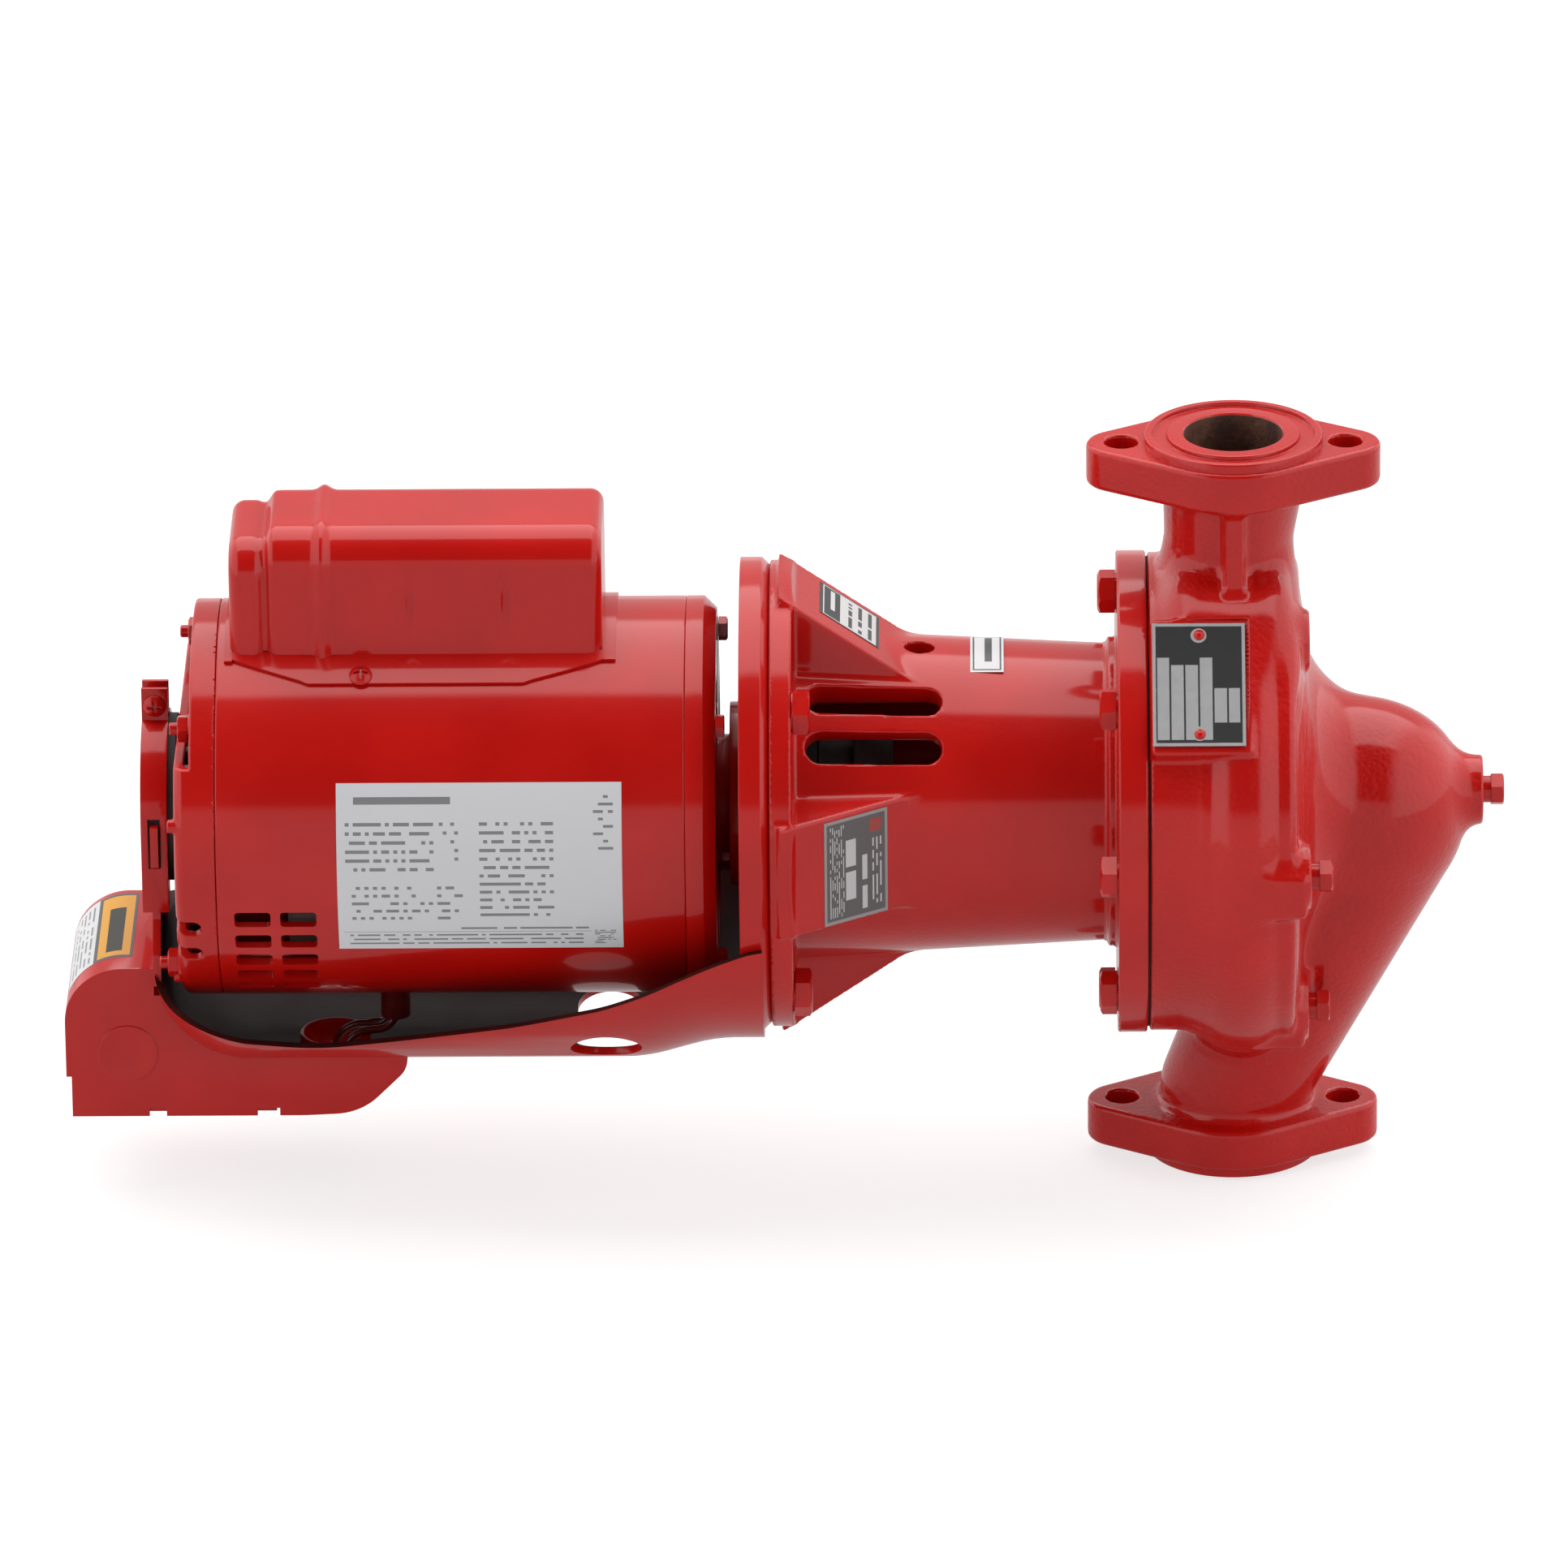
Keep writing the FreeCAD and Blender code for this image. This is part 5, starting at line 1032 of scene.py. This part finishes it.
def coverField(x, y, z):
    c = cover
    middle, half = (c["rear"] + c["front"]) / 2, (c["front"] - c["rear"]) / 2
    far = np.clip((x - c["stepAt"] + 3) / 6, 0, 1)
    top = c["top"] - c["stepDrop"] * (1 - far * far * (3 - 2 * far))
    wide = np.abs(y) - c["half"] + c["corner"]
    tall = z - top + c["corner"]
    body = roundEdge(wide, tall, c["corner"])
    bead = np.exp(-((x - c["beadAt"]) / 2.6) ** 2) * 2.0
    groove = np.exp(-((x - c["stepAt"]) / 2.2) ** 2) * 2.2
    body = body - bead + groove
    ends = np.abs(x - middle) - half
    body = roundEdge(body + c["endCorner"], ends + c["endCorner"], c["endCorner"])
    for at in c["dimples"]:
        dent = ball((x - at) / 2.2, (np.abs(y) - 31.2) / 2.6, (z - 90) / 11, (0, 0, 0), 1) * 2.2
        body = carve(body, dent, 1.4)
    return np.maximum(np.maximum(body, 68.5 - z), 74.6 - np.hypot(y, z))


def coverTab(side):
    x0, x1 = -379.0, -232.0
    stops = [(68.2, 0.0, 0.0), (66.0, 0.6, 0.6), (63.2, 9.0, 9.0), (60.2, 19.0, 20.0), (57.4, 29.0, 31.5),
             (56.4, 31.5, 34.5)]  # angle, then what the left and right ends draw in

    def point(u, v):
        place = v * (len(stops) - 1)
        k = min(int(place), len(stops) - 2)
        f = place - k
        angle, left, right = (stops[k][i] * (1 - f) + stops[k + 1][i] * f for i in range(3))
        y, z = pointAt(angle, 75.05)
        return x0 + left + (x1 - right - x0 - left) * u, y * side, z
    return point


def capacitorCover():
    hood = castPiece("hood", coverField, (-380, -33, 64), (-233, 33, 121), cover["cell"], "smoothEnamel")
    parts = [hood]
    for side in (1, -1):
        tab = skin("tab", coverTab(side), 48, 20, "smoothEnamel", 1.3)
        parts.append(tab)
    for at, out in ((-379.0, -376.0), (-237.2, -232.0)):
        edge = skin("lip", onCylinder(75.05, at, out, 64.5, 115.5), 4, 48, "smoothEnamel", 1.3)
        parts.append(edge)
    settle(smoothed(joinPieces("capacitorCover", parts), 48), "enamel_red", "housing", "capacitor_cover")


def crossHeadField(x, y, z):  # domed head along -Y with a cross recess, its seat at y = 0
    r = np.hypot(x, z)
    dome = keep(np.sqrt(x * x + z * z + (y - 2.7) ** 2) - 5.3, y, 0.5)
    dome = np.maximum(dome, r - 4.4)
    across = slab(x, y, z, (-2.6, -4, -0.55), (2.6, -1.1, 0.55), 0.2)
    upright = slab(x, y, z, (-0.55, -4, -2.6), (0.55, -1.1, 2.6), 0.2)
    return melt(carve(dome, np.minimum(across, upright), 0.25), rod(y, r, -0.2, 5.0, 2.0), 0.2)


def crossHead(name, matrix):
    head = castPiece(name, crossHeadField, (-5, -3.4, -5), (5, 5.6, 5), 0.28, "boltEnamel")
    head.data.transform(Matrix.Translation((0, 0, -shaftHeight)))
    head.data.transform(matrix)
    head.data.transform(Matrix.Translation((0, 0, shaftHeight)))
    return head


def coverScrews():
    heads = []
    for i, angle in enumerate((cover["screwAngle"], 180 - cover["screwAngle"])):
        turn = Matrix.Rotation(math.radians(-angle), 4, "X")
        seat = Matrix.Translation((cover["screwAt"] * mm, -76.3 * mm, 0))
        heads.append(crossHead("head" + str(i), turn @ seat))
    settle(smoothed(joinPieces("coverScrews", heads), 50), "fastener_red", "housing", "cover_screws")


capacitorCover()
coverScrews()
print("capacitor cover made")


# cradle, strap and junction box

def darkInside(piece):  # painted shade: near-black colour on the wall where it faces the shaft below it, under the motor, and on the inner face of the rear bend
    piece.data.materials.append(finishes["shadedUndercoat"])
    for polygon in piece.data.polygons:
        centre = polygon.center - Vector((0, 0, shaftHeight))
        out = Vector((0, centre.y, centre.z)).normalized()
        facing = polygon.normal.dot(out)
        bend = polygon.normal.x > 0.35 and centre.x < -0.36
        if (facing < -0.25 or bend) and centre.z < -0.02:
            polygon.material_index = 1


tray = softened("cradle_tray", "cradleTray", 0.9, "smoothEnamel", "enamel_red", "housing", 35, 3)
# painted shade on the tray's inner wall under the motor
darkInside(tray)
softened("cradle_end_plate", "cradleEndPlate", 0.9, "smoothEnamel", "enamel_red", "housing", 35, 3)
softened("strap_halves", "strapHalves", 0.4, "boltEnamel", "fastener_red", "housing")
softened("strap_nut", "strapNut", 0.4, "boltEnamel", "fastener_red", "housing")
softened("lead_bushing", "leadBushing", 0.4, "smoothEnamel", "enamel_red", "housing")
softened("junction_box", "junctionBox", 0.7, "smoothEnamel", "enamel_red", "housing", 35, 3)
softened("junction_box_cover", "junctionBoxCover", 0.4, "smoothEnamel", "enamel_red", "housing")


def strapScrew():
    low, high = span("strap_screw")
    middle = (low + high) / 2
    seat = -4.8
    head = crossHead("strapScrewHead", Matrix.Translation((middle.x * mm, seat * mm, middle.z * mm)))
    circle = circleAt(2.1, 24, middle.x, middle.z)
    vertices = [(a, y, b) for y in (seat - 0.4, high.y - 0.2) for a, b in circle]
    shank = newPiece("strapScrewShank", vertices, ringFaces(2, 24) + endFaces(2, 24), "boltEnamel", 0)
    whole = joinPieces("strapScrew", [head, tidy(shank)])
    settle(smoothed(whole, 50), "fastener_red", "housing", "strap_screw")


strapScrew()

knockout = {"x": -419.0, "z": -90.0, "radius": 11.6, "face": -37.5, "rise": 0.45}


def knockoutBlank():
    k = knockout
    steps = 64
    radius, rise = k["radius"], k["rise"]
    rings = [(radius, 0.6), (radius, -rise * 0.55), (radius - 0.35, -rise), (radius - 1.4, -rise),
             (radius - 1.8, -rise * 0.6)]
    vertices = [(a, k["face"] + out, b) for r, out in rings for a, b in circleAt(r, steps, k["x"], k["z"])]
    faces = ringFaces(len(rings), steps) + endFaces(len(rings), steps)
    settle(tidy(newPiece("knockoutBlank", vertices, faces, "smoothEnamel", 0)), "enamel_red", "housing")


knockoutBlank()


def overBoxCorner(u, v):  # from the left wall up round the box's rounded corner
    low, high = span("junction_box")
    radius = 22.0
    start, sweep = 160.0, 70.0
    angle = math.radians(start - sweep * min(u / 0.86, 1.0))
    x = low.x + radius + (radius + 0.03) * math.cos(angle) + max(0.0, u - 0.86) / 0.14 * 3.5
    z = high.z - radius + (radius + 0.03) * math.sin(angle)
    return x, 34 - 60 * v, z


def boxLabel():
    low, high = span("junction_box")
    heart = Vector((low.x + 30, 0, high.z - 40))
    sheet = skin("boxLabel", lambda u, v: overBoxCorner(u, 1 - v), 24, 24, "yellowLabel", 0.12, heart)
    settle(sheet, "etched_plate", "housing")


boxLabel()
print("cradle made")


# bolts, plugs and plates

fixings = {
    "coverBolts": (-44.0, 14.3, 6.8, 81.8, 8, 0, 45), "flangeBolts": (-166.0, 15.9, 6.9, 80.9, 4, 45, 90),
    "boltShank": 4.76, "plugFlats": 11.1,
}


def boltSet(name, node, key, tip):
    seat, flats, height, circle, count, first, step = fixings[key]
    out = 1 if seat > tip else -1
    vertices, faces = hexHead(seat, out, flats, height, circle, (abs(seat - tip), fixings["boltShank"]), 0.5)
    piece = turnedSet(name, vertices, faces, "boltEnamel", count, first, step)
    settle(piece, "fastener_red", "housing", node)


def pipePlugs():
    plugs = []
    for i, (face, degrees, radius) in enumerate(((94.5, 0, 0.0), (28.0, 0, 82.0), (28.0, -60, 82.0))):
        vertices, faces = hexHead(face + 3.0, 1, fixings["plugFlats"], 5.0, radius, (11.0, 5.1))
        plugs.append(turnedSet("plug" + str(i), vertices, faces, "boltEnamel", 1, degrees, 0))
    settle(joinPieces("pipePlugs", plugs), "fastener_red", "housing", "pipe_plugs")


boltSet("casingBolts", "casing_bolts", "coverBolts", -14.5)
boltSet("bracketBolts", "bracket_bolts", "flangeBolts", -186.0)
softened("bracket_nuts", "bracketNuts", 0.4, "boltEnamel", "fastener_red", "housing")
pipePlugs()


def onPad(u, v):  # nameplate's front, u to the right and v up
    out, wide, tall = 94.0, 34.6, 50.6
    a = math.radians(volute["plateAngle"])
    along = (v - 0.5) * tall
    return -31.0 + wide * u, -out * math.cos(a) + along * math.sin(a), out * math.sin(a) + along * math.cos(a)


def nameplate():
    plate = skin("namePlate", onPad, 4, 4, "etchedPlate", -0.55)
    settle(plate, "etched_plate", "housing", "nameplate")


nameplate()
softened("nameplate_rivets", "namePlateRivets", 0.15, "boltEnamel", "fastener_red", "housing")


def onGusset(turn, x0, x1, low, high):  # sheet on the sloping face of the gusset at an angle round the barrel
    b = bracket
    run, drop = b["tip"] - b["front"] - 0.5, b["gussetTop"] - 59.0

    def point(u, v):
        x = x0 + (x1 - x0) * u
        out = b["gussetTop"] - (x - b["front"]) * drop / run + 0.05
        along = low + (high - low) * v
        a = math.radians(turn)
        return x, -out * math.cos(a) + along * math.sin(a), out * math.sin(a) + along * math.cos(a)
    return point


for name, point, across, along, material in (
        ("approvalLabel", onGusset(0, -154, -130.5, -21.5, 20.5), 8, 8, "greyLabel"),
        ("warrantyLabel", onGusset(90, -155.5, -133.5, -12, 18), 8, 8, "blackLabel"),
        ("barrelLabel", onCylinder(58.75, -99, -86.5, 73, 107), 6, 24, "bandLabel")):
    settle(skin(name, point, across, along, material), "etched_plate", "housing")
print("fixings and labels made")


# floor, light and camera

studio = {
    "floorSize": 14.0, "floorGlow": 0.72, "floorBounce": 0.26, "floorColour": (0.38, 0.38, 0.38, 1),
    "floorDrop": 0.0012,
    "overhead": 2.8, "side": 1.55, "sideFrom": 0.42, "sideTo": 0.62, "backdrop": 1.03,
    "profile": [(0.0, 0.30), (0.075, 0.28), (0.10, 0.02), (0.45, 0.02), (0.475, 1.0), (0.79, 1.0),
                (0.815, 0.20), (1.0, 0.20)],
    "distance": 6.0, "lens": 364.0, "turn": 0.8, "tilt": 23.1, "roll": -0.62, "target": (-0.1698, 0.0, 0.0036),
}


def studioFloor():
    material = bpy.data.materials.new("paleFloor")
    material.use_nodes = True
    material.node_tree.nodes.clear()
    net = Net(material.node_tree)
    seen = net.add("ShaderNodeLightPath").out("Is Camera Ray")
    glow = blendColour(net, seen, grey(studio["floorBounce"]), grey(studio["floorGlow"]))
    finishMaterial(net, {
        "Base Color": studio["floorColour"], "Roughness": 0.9, "Specular IOR Level": 0.0,
        "Emission Color": glow, "Emission Strength": 1.0,
    })
    half = studio["floorSize"] / 2
    mesh = bpy.data.meshes.new("floor")
    corners = ((-half, -half), (half, -half), (half, half), (-half, half))
    mesh.from_pydata([(x, y, -studio["floorDrop"]) for x, y in corners], [], [(0, 1, 2, 3)])
    mesh.materials.append(material)
    floor = bpy.data.objects.new("floor", mesh)
    bpy.context.scene.collection.objects.link(floor)


def studioLight():  # a bright bank overhead and behind, dark card in front of it, bright walls at both ends
    world = bpy.data.worlds.new("studio")
    world.use_nodes = True
    world.node_tree.nodes.clear()
    net = Net(world.node_tree)
    way = net.add("ShaderNodeTexCoord").out("Generated")
    parts = net.add("ShaderNodeSeparateXYZ", {}, {0: way})
    x, y, z = (parts.out(i) for i in range(3))
    turn = z.join("ARCTAN2", z, y * -1.0) / math.pi
    bank = ramp(net, turn, [(place, grey(value)) for place, value in studio["profile"]])
    fade = net.add("ShaderNodeMapRange", {"interpolation_type": "SMOOTHSTEP"},
                   {0: x.size(), 1: studio["sideFrom"], 2: studio["sideTo"], 3: 0.0, 4: 1.0}).out(0)
    light = bank * studio["overhead"] * (1.0 - fade) + fade * studio["side"]
    seen = net.add("ShaderNodeLightPath").out("Is Camera Ray")
    strength = light * (1.0 - seen) + seen * studio["backdrop"]
    background = net.add("ShaderNodeBackground", {}, {"Color": grey(1), "Strength": strength})
    net.add("ShaderNodeOutputWorld", {}, {"Surface": background.out(0)})
    bpy.context.scene.world = world


def camera():
    turn, tilt = math.radians(studio["turn"]), math.radians(studio["tilt"])
    x, y, z = studio["target"]
    target = Vector((x, y, shaftHeight + z))
    away = Vector((math.sin(turn) * math.cos(tilt), -math.cos(turn) * math.cos(tilt), math.sin(tilt)))
    lens = bpy.data.cameras.new("camera")
    lens.lens = studio["lens"]
    lens.sensor_width = 36.0
    view = bpy.data.objects.new("camera", lens)
    view.location = target + away * studio["distance"]
    look = (-away).to_track_quat("-Z", "Y").to_matrix().to_4x4()
    roll = Matrix.Rotation(math.radians(studio["roll"]), 4, "Z")
    view.rotation_euler = (look @ roll).to_euler()
    bpy.context.scene.collection.objects.link(view)
    bpy.context.scene.camera = view


studioFloor()
studioLight()
camera()
bpy.context.scene.view_settings.view_transform = "Standard"
print("studio ready")
